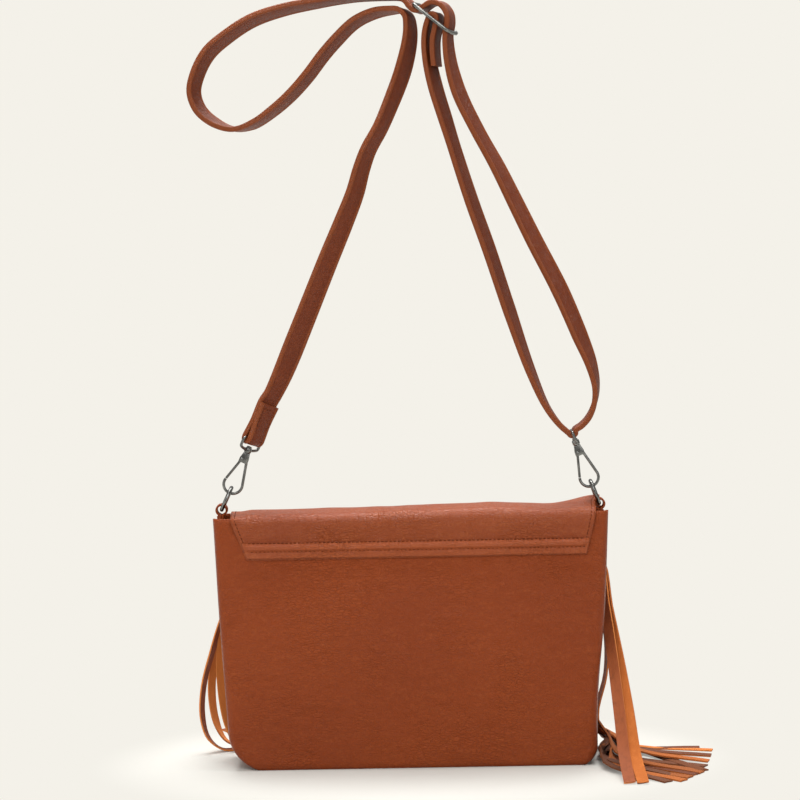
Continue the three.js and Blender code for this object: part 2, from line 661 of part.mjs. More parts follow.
// Strap: folded round the left eye, through the slider, round the right eye and back
function strap() {
  const left = chainFrame(-1, CHAIN_TILT_LEFT);
  const right = chainFrame(1, CHAIN_TILT_RIGHT);
  const lie = STRAP_THICK / 2 + GAP;
  const round = EYE_WIRE + lie;
  const atLeft = (away, rise) => {
    const p = new THREE.Vector3(0, away, EYE_Z + rise).applyMatrix4(left);
    return [p.x, p.y, p.z, 90];
  };
  const atRight = (across, rise) => {
    const p = new THREE.Vector3(across, 0, EYE_Z + rise).applyMatrix4(right);
    return [p.x, p.y, p.z, 0];
  };
  const bar = SLIDER_BAR + lie;
  const atBar = (x, z) => [SLIDER_X + x * bar, 0, strapHeight(SLIDER_Z) + z * bar, 0];
  const route = [
    atLeft(-lie, STRAP_FOLD), atLeft(-lie, STRAP_FOLD / 2), atLeft(-round * 0.9, 5), atLeft(-round, 0),
    atLeft(-round * 0.7, -round * 0.7), atLeft(0, -round), atLeft(round * 0.7, -round * 0.7),
    atLeft(round, 0), atLeft(round * 0.9, 5), atLeft(lie, STRAP_FOLD / 2), atLeft(lie, STRAP_FOLD),
    ...STRAP_RISE.map(strapPoint),
    atRight(round, 0), atRight(round * 0.7, -round * 0.7), atRight(0, -round),
    atRight(-round * 0.7, -round * 0.7), atRight(-round, 0),
    ...STRAP_RETURN.map(strapPoint),
    atBar(-1, 0), atBar(-0.7, 0.7), atBar(0, 1), atBar(0.7, 0.7), atBar(1, 0),
    ...STRAP_TAIL.map(strapPoint),
  ];
  return band(route, STRAP_WIDTH, STRAP_THICK, 2, Y.clone().negate());
}

addLeather('back_panel', panel(-1));
addLeather('front_panel', panel(1));
addLeather('gusset', gusset());
addPart('lining', lining(), 0x3a2a22, 0.9, 0);
addLeather('flap', flap());
addLeather('flap_seam_strip', seamStrip());
addMetal('snap_socket', snapHalf(GAP));
addMetal('snap_stud', snapHalf(FLAP_FRONT_OFFSET - GAP - SNAP_THICK));
addPart('fringe', fringe(), 0xa8622f, 0.85, 0);
for (const [name, side, tilt, eyeTurn] of [
  ['left', -1, CHAIN_TILT_LEFT, 0],
  ['right', 1, CHAIN_TILT_RIGHT, 90],
]) {
  const frame = chainFrame(side, tilt);
  addLeather(`${name}_ring_tab`, tab().translate(side * TAB_X, 0, TAB_Z));
  addMetal(`${name}_ring`, ring().applyMatrix4(frame));
  addMetal(`${name}_hook_body`, hookBody().applyMatrix4(frame));
  addMetal(`${name}_hook_gate`, gate().applyMatrix4(frame));
  addMetal(`${name}_gate_pin`, pin().applyMatrix4(frame));
  addMetal(`${name}_hook_eye`, eye(eyeTurn).applyMatrix4(frame));
}
addLeather('shoulder_strap', strap());
addMetal('strap_slider', slider());

export default bag;
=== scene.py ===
"""Looks of a fringed leather shoulder bag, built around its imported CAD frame.

Lengths in this script are millimetres in the frame's own axes; meshes are scaled to
metres as they are made. The camera side of the bag is -Y and the fringed front is +Y.
"""

from __future__ import annotations

import json
import logging
import math
from collections.abc import Callable, Mapping, Sequence
from dataclasses import dataclass, field
from enum import Enum
from typing import Any

import bmesh
import bpy
from mathutils import Matrix, Vector, noise

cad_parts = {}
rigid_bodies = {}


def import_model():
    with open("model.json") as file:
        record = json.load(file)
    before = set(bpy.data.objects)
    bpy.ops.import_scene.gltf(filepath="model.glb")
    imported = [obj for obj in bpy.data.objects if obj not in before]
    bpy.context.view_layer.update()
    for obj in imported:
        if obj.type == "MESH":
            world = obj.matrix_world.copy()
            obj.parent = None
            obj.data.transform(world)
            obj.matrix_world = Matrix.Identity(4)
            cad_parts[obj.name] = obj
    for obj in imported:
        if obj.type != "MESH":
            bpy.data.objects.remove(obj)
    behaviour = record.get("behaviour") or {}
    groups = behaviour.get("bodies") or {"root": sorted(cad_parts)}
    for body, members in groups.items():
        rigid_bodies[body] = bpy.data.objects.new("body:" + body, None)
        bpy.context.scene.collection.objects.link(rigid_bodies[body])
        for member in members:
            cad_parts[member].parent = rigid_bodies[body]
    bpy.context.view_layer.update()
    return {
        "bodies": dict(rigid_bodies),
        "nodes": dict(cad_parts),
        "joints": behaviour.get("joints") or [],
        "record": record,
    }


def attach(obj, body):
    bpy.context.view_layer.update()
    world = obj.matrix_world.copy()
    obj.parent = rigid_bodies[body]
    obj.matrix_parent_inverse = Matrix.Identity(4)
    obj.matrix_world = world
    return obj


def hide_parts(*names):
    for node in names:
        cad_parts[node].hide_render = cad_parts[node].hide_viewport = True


LOG = logging.getLogger("bag")
MM = 0.001
SHARP_ANGLE = 50
THREAD = 0.65

Colour = tuple[float, float, float, float]
Pair = tuple[float, float]
Triple = tuple[float, float, float]
RoutePoint = tuple[float, float, float, float]
Mesh = bmesh.types.BMesh
Piece = bpy.types.Object
Material = bpy.types.Material
Surface = Callable[[float, float], Vector]

EVEN: Triple = (1, 1, 1)
TO_CAMERA = Vector((0, -1, 0))
DEPTHWISE = Vector((0, 1, 0))


def srgb(red: int, green: int, blue: int) -> Colour:
    """Turns a display colour into a linear one.

    Args:
        red: Red from 0 to 255.
        green: Green from 0 to 255.
        blue: Blue from 0 to 255.

    Returns:
        The linear colour with full alpha.
    """
    def linear(value: int) -> float:
        """Undoes the display curve for one channel."""
        share = value / 255
        return share / 12.92 if share <= 0.04045 else ((share + 0.055) / 1.055) ** 2.4

    return linear(red), linear(green), linear(blue), 1.0


def lerp(a: float, b: float, share: float) -> float:
    """Mixes two numbers."""
    return a + (b - a) * share


def smooth(low: float, high: float, value: float) -> float:
    """Rises smoothly from 0 to 1 between two values."""
    share = min(1.0, max(0.0, (value - low) / (high - low)))
    return share * share * (3 - 2 * share)


def hump(value: float, middle: float, reach: float) -> float:
    """Gives a soft bump of height 1 round a middle."""
    return math.exp(-((value - middle) / reach) ** 2)


# Shader signals
class Signal:
    """A shader socket that can be used in sums."""

    def __init__(self, shader: Shader, socket: bpy.types.NodeSocket) -> None:
        """Wraps one output socket."""
        self.shader = shader
        self.socket = socket

    def _with(self, operation: str, *values: Signal | float) -> Signal:
        """Adds a Math node on some values."""
        return self.shader.node("ShaderNodeMath", {"operation": operation}, dict(enumerate(values)))

    def __add__(self, other: Signal | float) -> Signal:
        """Adds a value."""
        return self._with("ADD", self, other)

    def __radd__(self, other: float) -> Signal:
        """Adds to a value."""
        return self._with("ADD", other, self)

    def __sub__(self, other: Signal | float) -> Signal:
        """Takes a value away."""
        return self._with("SUBTRACT", self, other)

    def __rsub__(self, other: float) -> Signal:
        """Is taken away from a value."""
        return self._with("SUBTRACT", other, self)

    def __mul__(self, other: Signal | float) -> Signal:
        """Multiplies by a value."""
        return self._with("MULTIPLY", self, other)

    def __rmul__(self, other: float) -> Signal:
        """Multiplies a value."""
        return self._with("MULTIPLY", other, self)

    def __gt__(self, other: Signal | float) -> Signal:
        """Is 1 where the signal is greater."""
        return self._with("GREATER_THAN", self, other)


class Shader:
    """One material under construction, with its Principled surface."""

    def __init__(self, name: str) -> None:
        """Starts an empty material.

        Args:
            name: The material's name.
        """
        self.material = bpy.data.materials.new(name)
        self.material.use_nodes = True
        self.tree = self.material.node_tree
        self.tree.nodes.clear()
        self.output = self.tree.nodes.new("ShaderNodeOutputMaterial")
        self.surface = self.tree.nodes.new("ShaderNodeBsdfPrincipled")
        self.tree.links.new(self.surface.outputs[0], self.output.inputs[0])

    def plug(self, socket: bpy.types.NodeSocket, value: Any) -> None:
        """Links a signal to a socket or sets its constant.

        Args:
            socket: The input socket.
            value: A signal or a constant.
        """
        if isinstance(value, Signal):
            self.tree.links.new(value.socket, socket)
        else:
            socket.default_value = value

    def node(
        self,
        kind: str,
        settings: Mapping[str, Any] | None = None,
        sockets: Mapping[str | int, Any] | None = None,
        out: str | int = 0,
    ) -> Signal:
        """Adds any node.

        Args:
            kind: The node's type.
            settings: Its properties by name.
            sockets: Its inputs by name or place.
            out: The output to give back.

        Returns:
            The chosen output as a signal.
        """
        made = self.tree.nodes.new(kind)
        for key, value in (settings or {}).items():
            setattr(made, key, value)
        for key, value in (sockets or {}).items():
            self.plug(made.inputs[key], value)
        return Signal(self, made.outputs[out])

    def place(self, stretch: Triple = EVEN, where: Signal | None = None) -> Signal:
        """Gives the object's coordinates, or other ones, stretched along each axis."""
        here = where or self.node("ShaderNodeTexCoord", out="Object")
        return self.node("ShaderNodeMapping", {}, {"Vector": here, "Scale": stretch})

    def across(self) -> Signal:
        """Gives the first UV, which runs round a band's section."""
        return self.node("ShaderNodeSeparateXYZ", {}, {0: self.node("ShaderNodeTexCoord", out="UV")})

    def cloud(self, scale: float, detail: float = 3, stretch: Triple = EVEN) -> Signal:
        """Gives soft noise."""
        sockets = {"Vector": self.place(stretch), "Scale": scale, "Detail": detail, "Roughness": 0.55}
        return self.node("ShaderNodeTexNoise", {}, sockets)

    def wave(self, direction: str, scale: float) -> Signal:
        """Gives even bands that run along one direction."""
        sockets = {"Vector": self.place(), "Scale": scale}
        return self.node("ShaderNodeTexWave", {"bands_direction": direction}, sockets)

    def cloud_vector(self, scale: float) -> Signal:
        """Gives soft noise as a vector for bending other patterns."""
        sockets = {"Vector": self.place(), "Scale": scale, "Detail": 2}
        return self.node("ShaderNodeTexNoise", {}, sockets, out="Color")

    def cells(self, scale: float, stretch: Triple = EVEN, where: Signal | None = None) -> Signal:
        """Gives the distance to the edges of small cells.

        Args:
            scale: Cells per metre.
            stretch: Scale along each axis.
            where: Places to use instead of the object's own.

        Returns:
            The distance to the nearest cell edge.
        """
        place = self.place(stretch, where)
        sockets = {"Vector": place, "Scale": scale, "Randomness": 0.9}
        return self.node("ShaderNodeTexVoronoi", {"feature": "DISTANCE_TO_EDGE"}, sockets)

    def ramp(self, value: Signal, low: float, high: float, start: float = 0, end: float = 1) -> Signal:
        """Maps a range smoothly onto another."""
        sockets = {0: value, 1: low, 2: high, 3: start, 4: end}
        return self.node("ShaderNodeMapRange", {"interpolation_type": "SMOOTHSTEP"}, sockets)

    def blend(self, share: Signal, first: Any, second: Any) -> Signal:
        """Mixes two colours."""
        settings = {"data_type": "RGBA"}
        return self.node("ShaderNodeMix", settings, {0: share, 6: first, 7: second}, out=2)

    def bump(self, height: Signal, depth: float, strength: float = 1.0) -> Signal:
        """Turns a height into a normal."""
        return self.node("ShaderNodeBump", {}, {"Height": height, "Distance": depth, "Strength": strength})

    def finish(self, **sockets: Any) -> Material:
        """Sets the surface's sockets.

        Args:
            sockets: Values by socket name, with underscores for spaces.

        Returns:
            The finished material.
        """
        for name, value in sockets.items():
            self.plug(self.surface.inputs[name.replace("_", " ")], value)
        return self.material


# Finishes
@dataclass(frozen=True)
class LeatherFinish:
    """Smooth finely creased leather."""

    name: str
    tone: Colour
    # The darker tone of the random mottling, and also the colour of the painted shade in the grain and
    # creases.
    deep: Colour
    # The lighter tone of the random rubbed wear, and also of the painted highlight on a band's edges.
    wear_and_edge_highlight: Colour
    grain: float = 1.1
    crease: float = 1.0
    roughness: float = 0.44
    shine: float = 0.18
    # How strongly a painted highlight lightens a band's edges.
    edge_highlight: float = 0.0

    def material(self) -> Material:
        """Builds the material.

        Returns:
            The leather.
        """
        s = Shader(self.name)
        patches = s.ramp(s.cloud(13, 5), 0.25, 0.75)
        flecks = s.cloud(420, 4)
        bend = {0: s.cloud_vector(160), 1: (0.004, 0.004, 0.004), 2: s.place()}
        warp = s.node("ShaderNodeVectorMath", {"operation": "MULTIPLY_ADD"}, bend)
        grain = s.ramp(s.cells(1000 / self.grain, (1, 1, 1.4), warp), 0.0, 0.2)
        creases = s.ramp(s.cells(330 / self.grain, (0.8, 0.8, 2.0), warp), 0.0, 0.13)
        folds = s.cloud(120, 5, (0.7, 0.7, 1.8))
        marked = s.ramp(s.cloud(26, 3), 0.36, 0.66, 0.25, 1.0)
        tone = s.blend(0.4 + patches * 0.6, self.deep, self.tone)
        rubbed = s.ramp(folds * 0.4 + flecks * 0.6, 0.46, 0.74, 0.0, 0.3)
        tone = s.blend(rubbed, tone, self.wear_and_edge_highlight)
        # Painted highlight: the section's edge beads are lightened, standing in for the light that they
        # catch.
        if self.edge_highlight:
            across = s.across()
            edges = (1 - (across > 0.335)) + (across > 0.495) * (1 - (across > 0.838))
            tone = s.blend(edges * self.edge_highlight, tone, self.wear_and_edge_highlight)
        # Painted shade: the grain's cell edges and the creases are darkened toward the deep tone, standing
        # in for the shade in these hollows.
        painted_crease_shade = (1 - grain) * 0.3 + (1 - creases) * marked * (0.34 * self.crease)
        tone = s.blend(painted_crease_shade, tone, self.deep)
        height = grain * 0.25 + creases * marked * (0.6 * self.crease)
        height = height + folds * (0.5 * self.crease) + flecks * 0.15
        rough = s.ramp(flecks, 0.3, 0.7, self.roughness - 0.07, self.roughness + 0.1)
        return s.finish(
            Base_Color=tone, Roughness=rough, Normal=s.bump(height, 0.00055, 0.9),
            Specular_IOR_Level=self.shine, Coat_Weight=0.02, Coat_Roughness=0.35,
        )


@dataclass(frozen=True)
class FringeFinish:
    """Strips with a grained face and a suede back, told apart by the first UV."""

    name: str
    face: Colour
    face_deep: Colour
    suede: Colour
    suede_deep: Colour
    # The colour of the painted shade on strips with a low tone.
    painted_shade: Colour

    def material(self) -> Material:
        """Builds the material.

        Returns:
            The two-sided strip leather.
        """
        s = Shader(self.name)
        across = s.across()
        is_face = (across > 0.49) * (1 - (across > 0.91))
        # The tone attribute sets each strip's brightness: a high tone paints it lighter, a tone below 0
        # darkens it with painted shade.
        tone = s.node("ShaderNodeAttribute", {"attribute_name": "tone"}, out="Fac")
        fluff = s.cloud(1500, 3)
        streaks = s.cloud(260, 4, (1, 1, 0.3))
        face = s.blend(s.ramp(streaks * 0.6 + tone * 0.4, 0.3, 0.7), self.face_deep, self.face)
        nap = s.ramp(fluff * 0.35 + streaks * 0.3 + tone * 0.35, 0.3, 0.7)
        suede = s.blend(nap, self.suede_deep, self.suede)
        # Painted shade: below a tone of 0 a strip is darkened toward the shade colour, fully at -1.
        shaded = 1 - s.ramp(tone, -1, 0)
        grain = s.ramp(s.cells(900), 0, 0.16) * is_face
        rough = 0.93 - is_face * 0.38
        return s.finish(
            Base_Color=s.blend(shaded, s.blend(is_face, suede, face), self.painted_shade), Roughness=rough,
            Normal=s.bump(fluff * 0.7 + grain * 0.4 + streaks * 0.5, 0.00025, 0.7),
            Specular_IOR_Level=0.16, Sheen_Weight=0.05, Sheen_Roughness=0.5,
        )


@dataclass(frozen=True)
class MetalFinish:
    """Dark plated metal with a little wear."""

    name: str
    tone: Colour
    bright: Colour
    roughness: float

    def material(self) -> Material:
        """Builds the material.

        Returns:
            The metal.
        """
        s = Shader(self.name)
        wear = s.ramp(s.cloud(180, 3), 0.4, 0.8)
        marks = s.cloud(1400, 3, (1, 1, 0.25))
        rough = s.ramp(marks, 0.3, 0.7, self.roughness - 0.06, self.roughness + 0.1)
        return s.finish(
            Base_Color=s.blend(wear, self.tone, self.bright), Roughness=rough, Metallic=1.0,
            Normal=s.bump(marks, 0.00002, 0.35),
        )


@dataclass(frozen=True)
class ThreadFinish:
    """Waxed sewing thread."""

    name: str
    tone: Colour
    deep: Colour

    def material(self) -> Material:
        """Builds the material.

        Returns:
            The thread.
        """
        s = Shader(self.name)
        twist = s.wave("DIAGONAL", 700.0)
        tone = s.blend(twist * 0.45 + s.cloud(300, 2) * 0.4, self.deep, self.tone)
        normal = s.bump(twist, 0.0001, 0.6)
        return s.finish(Base_Color=tone, Roughness=0.75, Normal=normal, Specular_IOR_Level=0.1)


@dataclass(frozen=True)
class LiningFinish:
    """Plain woven lining."""

    name: str
    tone: Colour
    deep: Colour

    def material(self) -> Material:
        """Builds the material.

        Returns:
            The cloth.
        """
        s = Shader(self.name)
        weave = s.wave("X", 480.0) * 0.5 + s.wave("Z", 480.0) * 0.5
        tone = s.blend(weave * 0.7 + s.cloud(60, 3) * 0.3, self.deep, self.tone)
        return s.finish(Base_Color=tone, Roughness=0.85, Normal=s.bump(weave, 0.00015, 0.6))


@dataclass(frozen=True)
class Finishes:
    """Every finish of the bag, built once."""

    panel: Material
    flap: Material
    strap: Material
    strip: Material
    fringe: Material
    metal: Material
    thread: Material
    lining: Material

    @classmethod
    def built(cls) -> Finishes:
        """Builds all the materials.

        Returns:
            The set of finishes.
        """
        return cls(
            panel=LeatherFinish(
                "panel_leather", srgb(143, 63, 20), srgb(119, 47, 13), srgb(166, 87, 43),
            ).material(),
            flap=LeatherFinish(
                "flap_leather", srgb(147, 67, 22), srgb(123, 49, 14), srgb(184, 104, 54),
                crease=1.2, shine=0.3, roughness=0.37,
            ).material(),
            # The strap's edges carry a painted highlight.
            strap=LeatherFinish(
                "strap_leather", srgb(114, 49, 18), srgb(90, 36, 12), srgb(152, 80, 38),
                crease=0.4, shine=0.22, roughness=0.4, edge_highlight=0.5,
            ).material(),
            # Painted highlight: the seam strip is a lighter copy of the flap leather, standing in for the
            # light that its roll catches from above.
            strip=LeatherFinish(
                "strip_leather", srgb(158, 76, 32), srgb(132, 56, 20), srgb(190, 110, 66),
                crease=1.2, shine=0.3, roughness=0.4,
            ).material(),
            fringe=FringeFinish(
                "fringe_leather", srgb(146, 76, 40), srgb(104, 51, 26),
                # The last colour is the painted shade of the low-toned strips.
                srgb(208, 126, 62), srgb(174, 96, 43), srgb(104, 58, 32),
            ).material(),
            metal=MetalFinish("hardware_metal", srgb(104, 104, 101), srgb(136, 136, 132), 0.22).material(),
            thread=ThreadFinish("sewing_thread", srgb(112, 52, 26), srgb(66, 26, 12)).material(),
            lining=LiningFinish("lining_weave", srgb(74, 56, 46), srgb(44, 32, 27)).material(),
        )


# Mesh tools
@dataclass(frozen=True)
class Station:
    """One cross-section's place and axes on a swept shape."""

    place: Vector
    across: Vector
    out: Vector


def grid(bm: Mesh, across: int, along: int, where: Surface) -> list[bmesh.types.BMVert]:
    """Adds a grid of quads and lays it over a surface.

    Args:
        bm: Mesh to add to.
        across: Quads in the first direction.
        along: Quads in the second direction.
        where: Gives the place in millimetres for two shares from 0 to 1.

    Returns:
        The new vertices.
    """
    verts = bmesh.ops.create_grid(bm, x_segments=across, y_segments=along, size=0.5)["verts"]
    layer = bm.loops.layers.uv.verify()
    for vert in verts:
        for loop in vert.link_loops:
            loop[layer].uv = (vert.co.x + 0.5, vert.co.y + 0.5)
    for vert in verts:
        vert.co = where(vert.co.x + 0.5, vert.co.y + 0.5) * MM
    return verts


def sweep(
    bm: Mesh, stations: Sequence[Station], section: Sequence[Pair], closed: bool = False,
) -> list[bmesh.types.BMVert]:
    """Sweeps a closed section along stations.

    Args:
        bm: Mesh to add to.
        stations: Places and axes in order.
        section: Corners of the section as (across, out).
        closed: Whether the last station joins the first.

    Returns:
        The vertices that remain.
    """
    steps = len(stations) if closed else len(stations) - 1
    around = len(section)

    def where(u: float, v: float) -> Vector:
        """Gives a corner of a section.

        Args:
            u: Share round the section.
            v: Share along the stations.

        Returns:
            The place in millimetres.
        """
        station = stations[round(v * steps) % len(stations)]
        a, b = section[round(u * around) % around]
        return station.place + station.across * a + station.out * b

    verts = grid(bm, around, steps, where)
    bmesh.ops.remove_doubles(bm, verts=verts, dist=1e-8)
    verts = [v for v in verts if v.is_valid]
    rims = dict.fromkeys(e for v in verts for e in v.link_edges if e.is_boundary)
    bmesh.ops.holes_fill(bm, edges=list(rims), sides=0)
    return verts


def made(bm: Mesh, name: str, material: Material) -> Piece:
    """Turns a finished bmesh into an object.

    Args:
        bm: The mesh, which is freed.
        name: The object's name.
        material: Its finish.

    Returns:
        The new object.
    """
    bmesh.ops.recalc_face_normals(bm, faces=bm.faces)
    mesh = bpy.data.meshes.new(name)
    bm.to_mesh(mesh)
    bm.free()
    mesh.shade_smooth()
    mesh.set_sharp_from_angle(angle=math.radians(SHARP_ANGLE))
    mesh.materials.append(material)
    piece = bpy.data.objects.new(name, mesh)
    bpy.context.scene.collection.objects.link(piece)
    return piece


def thicken(piece: Piece, thick: float, offset: float) -> Piece:
    """Gives a sheet its thickness.

    Args:
        piece: The sheet.
        thick: Its thickness.
        offset: From -1, all inside the sheet, to 1, all outside.

    Returns:
        The same piece.
    """
    layer = piece.modifiers.new("thickness", "SOLIDIFY")
    layer.thickness = thick * MM
    layer.offset = offset
    return piece


def keep(piece: Piece, *nodes: str, slot: str = "", body: str = "bag") -> Piece:
    """Fixes a piece to its body and hides the CAD nodes that it replaces.

    Args:
        piece: The finished piece.
        nodes: CAD nodes that it replaces.
        slot: Not used.
        body: The body that it rides on.

    Returns:
        The same piece.
    """
    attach(piece, body)
    if nodes:
        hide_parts(*nodes)
    return piece


def spin(degrees: float, axis: str) -> Matrix:
    """Gives a turn about an axis."""
    return Matrix.Rotation(math.radians(degrees), 4, axis)


def circle(radius: float, sides: int = 12) -> list[Pair]:
    """Gives a round section."""
    turns = [2 * math.pi * i / sides for i in range(sides)]
    return [(radius * math.cos(t), radius * math.sin(t)) for t in turns]


def mirrored(low: list[Pair]) -> list[Pair]:
    """Closes half of a section with its mirror image."""
    return low + [(a, -b) for a, b in reversed(low)]


def ribbon(width: float, thick: float, cup: float, spans: int = 4) -> list[Pair]:
    """Gives a flat section, first side at positive out.

    Args:
        width: Its width.
        thick: Its thickness.
        cup: How far the edges bend to positive out.
        spans: Parts across each face.

    Returns:
        The section.
    """
    shares = [2 * i / spans - 1 for i in range(spans + 1)]
    top = [(s * width / 2, thick / 2 + cup * s * s) for s in shares]
    low = [(s * width / 2, -thick / 2 + cup * s * s) for s in reversed(shares)]
    return top + low


def planar(points: Sequence[Vector], normal: Vector, closed: bool = False) -> list[Station]:
    """Gives stations along a path with a fixed side direction.

    Args:
        points: The path.
        normal: The direction of each section's first axis.
        closed: Whether the path is a loop.

    Returns:
        The stations.
    """
    stations = []
    count = len(points)
    for i, point in enumerate(points):
        before = points[i - 1] if i or closed else point
        after = points[(i + 1) % count] if i < count - 1 or closed else point
        along = (after - before).normalized()
        side = (normal - along * normal.dot(along)).normalized()
        stations.append(Station(point, side, along.cross(side)))
    return stations


def rounded(corners: Sequence[Pair], radius: float, closed: bool = False, steps: int = 6) -> list[Pair]:
    """Rounds the corners of a flat path.

    Args:
        corners: Corner points.
        radius: How far before each corner the curve starts.
        closed: Whether the path is a loop.
        steps: Parts of each rounding.

    Returns:
        The rounded path.
    """
    path: list[Pair] = []
    count = len(corners)
    for i, corner in enumerate(corners):
        if not closed and i in (0, count - 1):
            path.append(corner)
            continue
        here = Vector(corner)
        back, ahead = Vector(corners[i - 1]) - here, Vector(corners[(i + 1) % count]) - here
        start = here + back.normalized() * min(radius, back.length * 0.49)
        end = here + ahead.normalized() * min(radius, ahead.length * 0.49)
        for k in range(steps + 1):
            t = k / steps
            spot = start * (1 - t) ** 2 + here * (2 * t * (1 - t)) + end * t * t
            path.append((spot.x, spot.y))
    return path


def spline(points: Sequence[Vector], steps: int) -> list[tuple[Vector, Vector, float]]:
    """Runs a centripetal curve through points.

    Args:
        points: Points to pass through.
        steps: Parts of each span.

    Returns:
        Place, direction and point number along the curve.
    """
    ends = [points[0] * 2 - points[1], *points, points[-1] * 2 - points[-2]]
    found = []
    last = len(points) - 2
    for span in range(last + 1):
        p0, p1, p2, p3 = ends[span:span + 4]
        d0, d1, d2 = (max((b - a).length ** 0.5, 1e-4) for a, b in ((p0, p1), (p1, p2), (p2, p3)))
        t1 = ((p1 - p0) / d0 - (p2 - p0) / (d0 + d1) + (p2 - p1) / d1) * d1
        t2 = ((p2 - p1) / d1 - (p3 - p1) / (d1 + d2) + (p3 - p2) / d2) * d1
        square, cube = (p2 - p1) * 3 - t1 * 2 - t2, (p1 - p2) * 2 + t1 + t2
        for k in range(steps + (span == last)):
            w = k / steps
            place = p1 + t1 * w + square * (w * w) + cube * (w * w * w)
            along = t1 + square * (2 * w) + cube * (3 * w * w)
            found.append((place, along.normalized(), span + w))
    return found


@dataclass(frozen=True)
class Band:
    """A flat band bent along a route of (x, y, z, turn) points."""

    route: Sequence[RoutePoint]
    first_side: Vector | None = None
    steps: int = 5

    def stations(self) -> list[Station]:
        """Works out the sections along the route.

        Returns:
            The stations, with across over the band's width.
        """
        points = [Vector(p[:3]) for p in self.route]
        side = self.first_side.copy() if self.first_side else Vector((1, 0, 0))
        last: Vector | None = None
        stations = []
        for place, along, at in spline(points, self.steps):
            spot = min(int(at), len(self.route) - 2)
            turn = math.radians(lerp(self.route[spot][3], self.route[spot + 1][3], at - spot))
            across = Vector((math.cos(turn), math.sin(turn), 0))
            if self.first_side:
                if last:
                    side.rotate(last.rotation_difference(along))
                across = side * math.cos(turn) + side.cross(along) * math.sin(turn)
            across = (across - along * across.dot(along)).normalized()
            last = along
            stations.append(Station(place, across, along.cross(across)))
        return stations


def stitches(
    bm: Mesh, path: Sequence[Vector], outward: Vector, pitch: float = 2.9, length: float = 2.2,
) -> None:
    """Lays a row of stitches along a path.

    Args:
        bm: Mesh to add to.
        path: Places along the row.
        outward: Direction away from the leather.
        pitch: From one stitch to the next.
        length: Length of a stitch.
    """
    size = Matrix.Diagonal((length, THREAD, THREAD * 0.8, 1)) @ Matrix.Scale(MM, 4)
    lying = size @ Matrix.Rotation(math.pi / 2, 4, "Y")
    carried = pitch / 2
    for a, b in zip(path, path[1:]):
        run = (b - a).length
        while carried <= run:
            along = (b - a).normalized()
            side = outward.cross(along).normalized()
            up = along.cross(side)
            turn = Matrix((along, side, up)).transposed().to_4x4()
            spot = Matrix.Translation((a + along * carried) * MM) @ turn @ lying
            bmesh.ops.create_uvsphere(bm, u_segments=6, v_segments=5, radius=0.5, matrix=spot)
            carried += pitch
        carried -= run


# The bag's own shape
class Side(Enum):
    """Which broad face of the bag."""

    BACK = -1
    FRONT = 1


@dataclass(frozen=True)
class BagShape:
    """Sizes of the bag's body and where its faces lie."""

    height: float = 180
    top_width: float = 274
    base_width: float = 255
    base_depth: float = 54
    top_depth: float = 34
    left_corner: float = 26
    right_corner: float = 13
    puff: float = 7
    leather: float = 1.6
    roll: float = 4.5
    sag: float = 3.0
    lean: float = 0.7
    swell: float = 0.6
    right_tuck: float = 2.4

    def half_depth(self, z: float) -> float:
        """Gives half of the depth at a height."""
        return lerp(self.base_depth, self.top_depth, z / self.height) / 2

    def bulge(self, x: float, z: float) -> float:
        """Gives how far the filled panel stands out."""
        rise = math.sin(math.pi * min(max(z / self.height, 0), 1)) ** 2
        return self.puff * max(0.0, 1 - (2 * x / self.top_width) ** 2) * rise

    def face(self, x: float, z: float) -> float:
        """Gives the distance of the panel's face from the middle plane."""
        return self.half_depth(z) + self.bulge(x, z)

    def drop(self, x: float) -> float:
        """Gives how far the soft mouth has sunk below its cut height."""
        return self.sag - self.lean * 2 * x / self.top_width

    def edge(self, z: float, right: bool) -> float:
        """Gives where the panel ends on one side.

        Args:
            z: Height.
            right: Whether it is the right side.

        Returns:
            The edge's signed X.
        """
        half = lerp(self.base_width, self.top_width, z / self.height) / 2
        radius = self.right_corner if right else self.left_corner
        if z < radius:
            half -= radius - math.sqrt(max(0.0, radius ** 2 - (radius - z) ** 2))
        half += self.swell * hump(z, 0.6 * self.height, 0.28 * self.height)
        half -= self.right_tuck * hump(z, 50, 45) if right else 0
        return half if right else -half

    def rows(self, top: float) -> list[float]:
        """Gives heights up to a top, closer near the base.

        Args:
            top: The last height.

        Returns:
            The heights.
        """
        low = [24 * (1 - math.cos(math.pi / 2 * i / 16)) for i in range(17)]
        rest = [lerp(24, top, i / 64) for i in range(1, 65)]
        return low + rest

    def outline(self, top: float) -> list[Pair]:
        """Gives the body's outline from the left top round the base to the right top.

        Args:
            top: Height where the outline starts and ends.

        Returns:
            Points as (x, z).
        """
        rows = self.rows(top)
        left = [(self.edge(z, False), z) for z in reversed(rows)]
        right = [(self.edge(z, True), z) for z in rows]
        base = [(lerp(left[-1][0], right[0][0], i / 60), 0.0) for i in range(1, 60)]
        return left + base + right


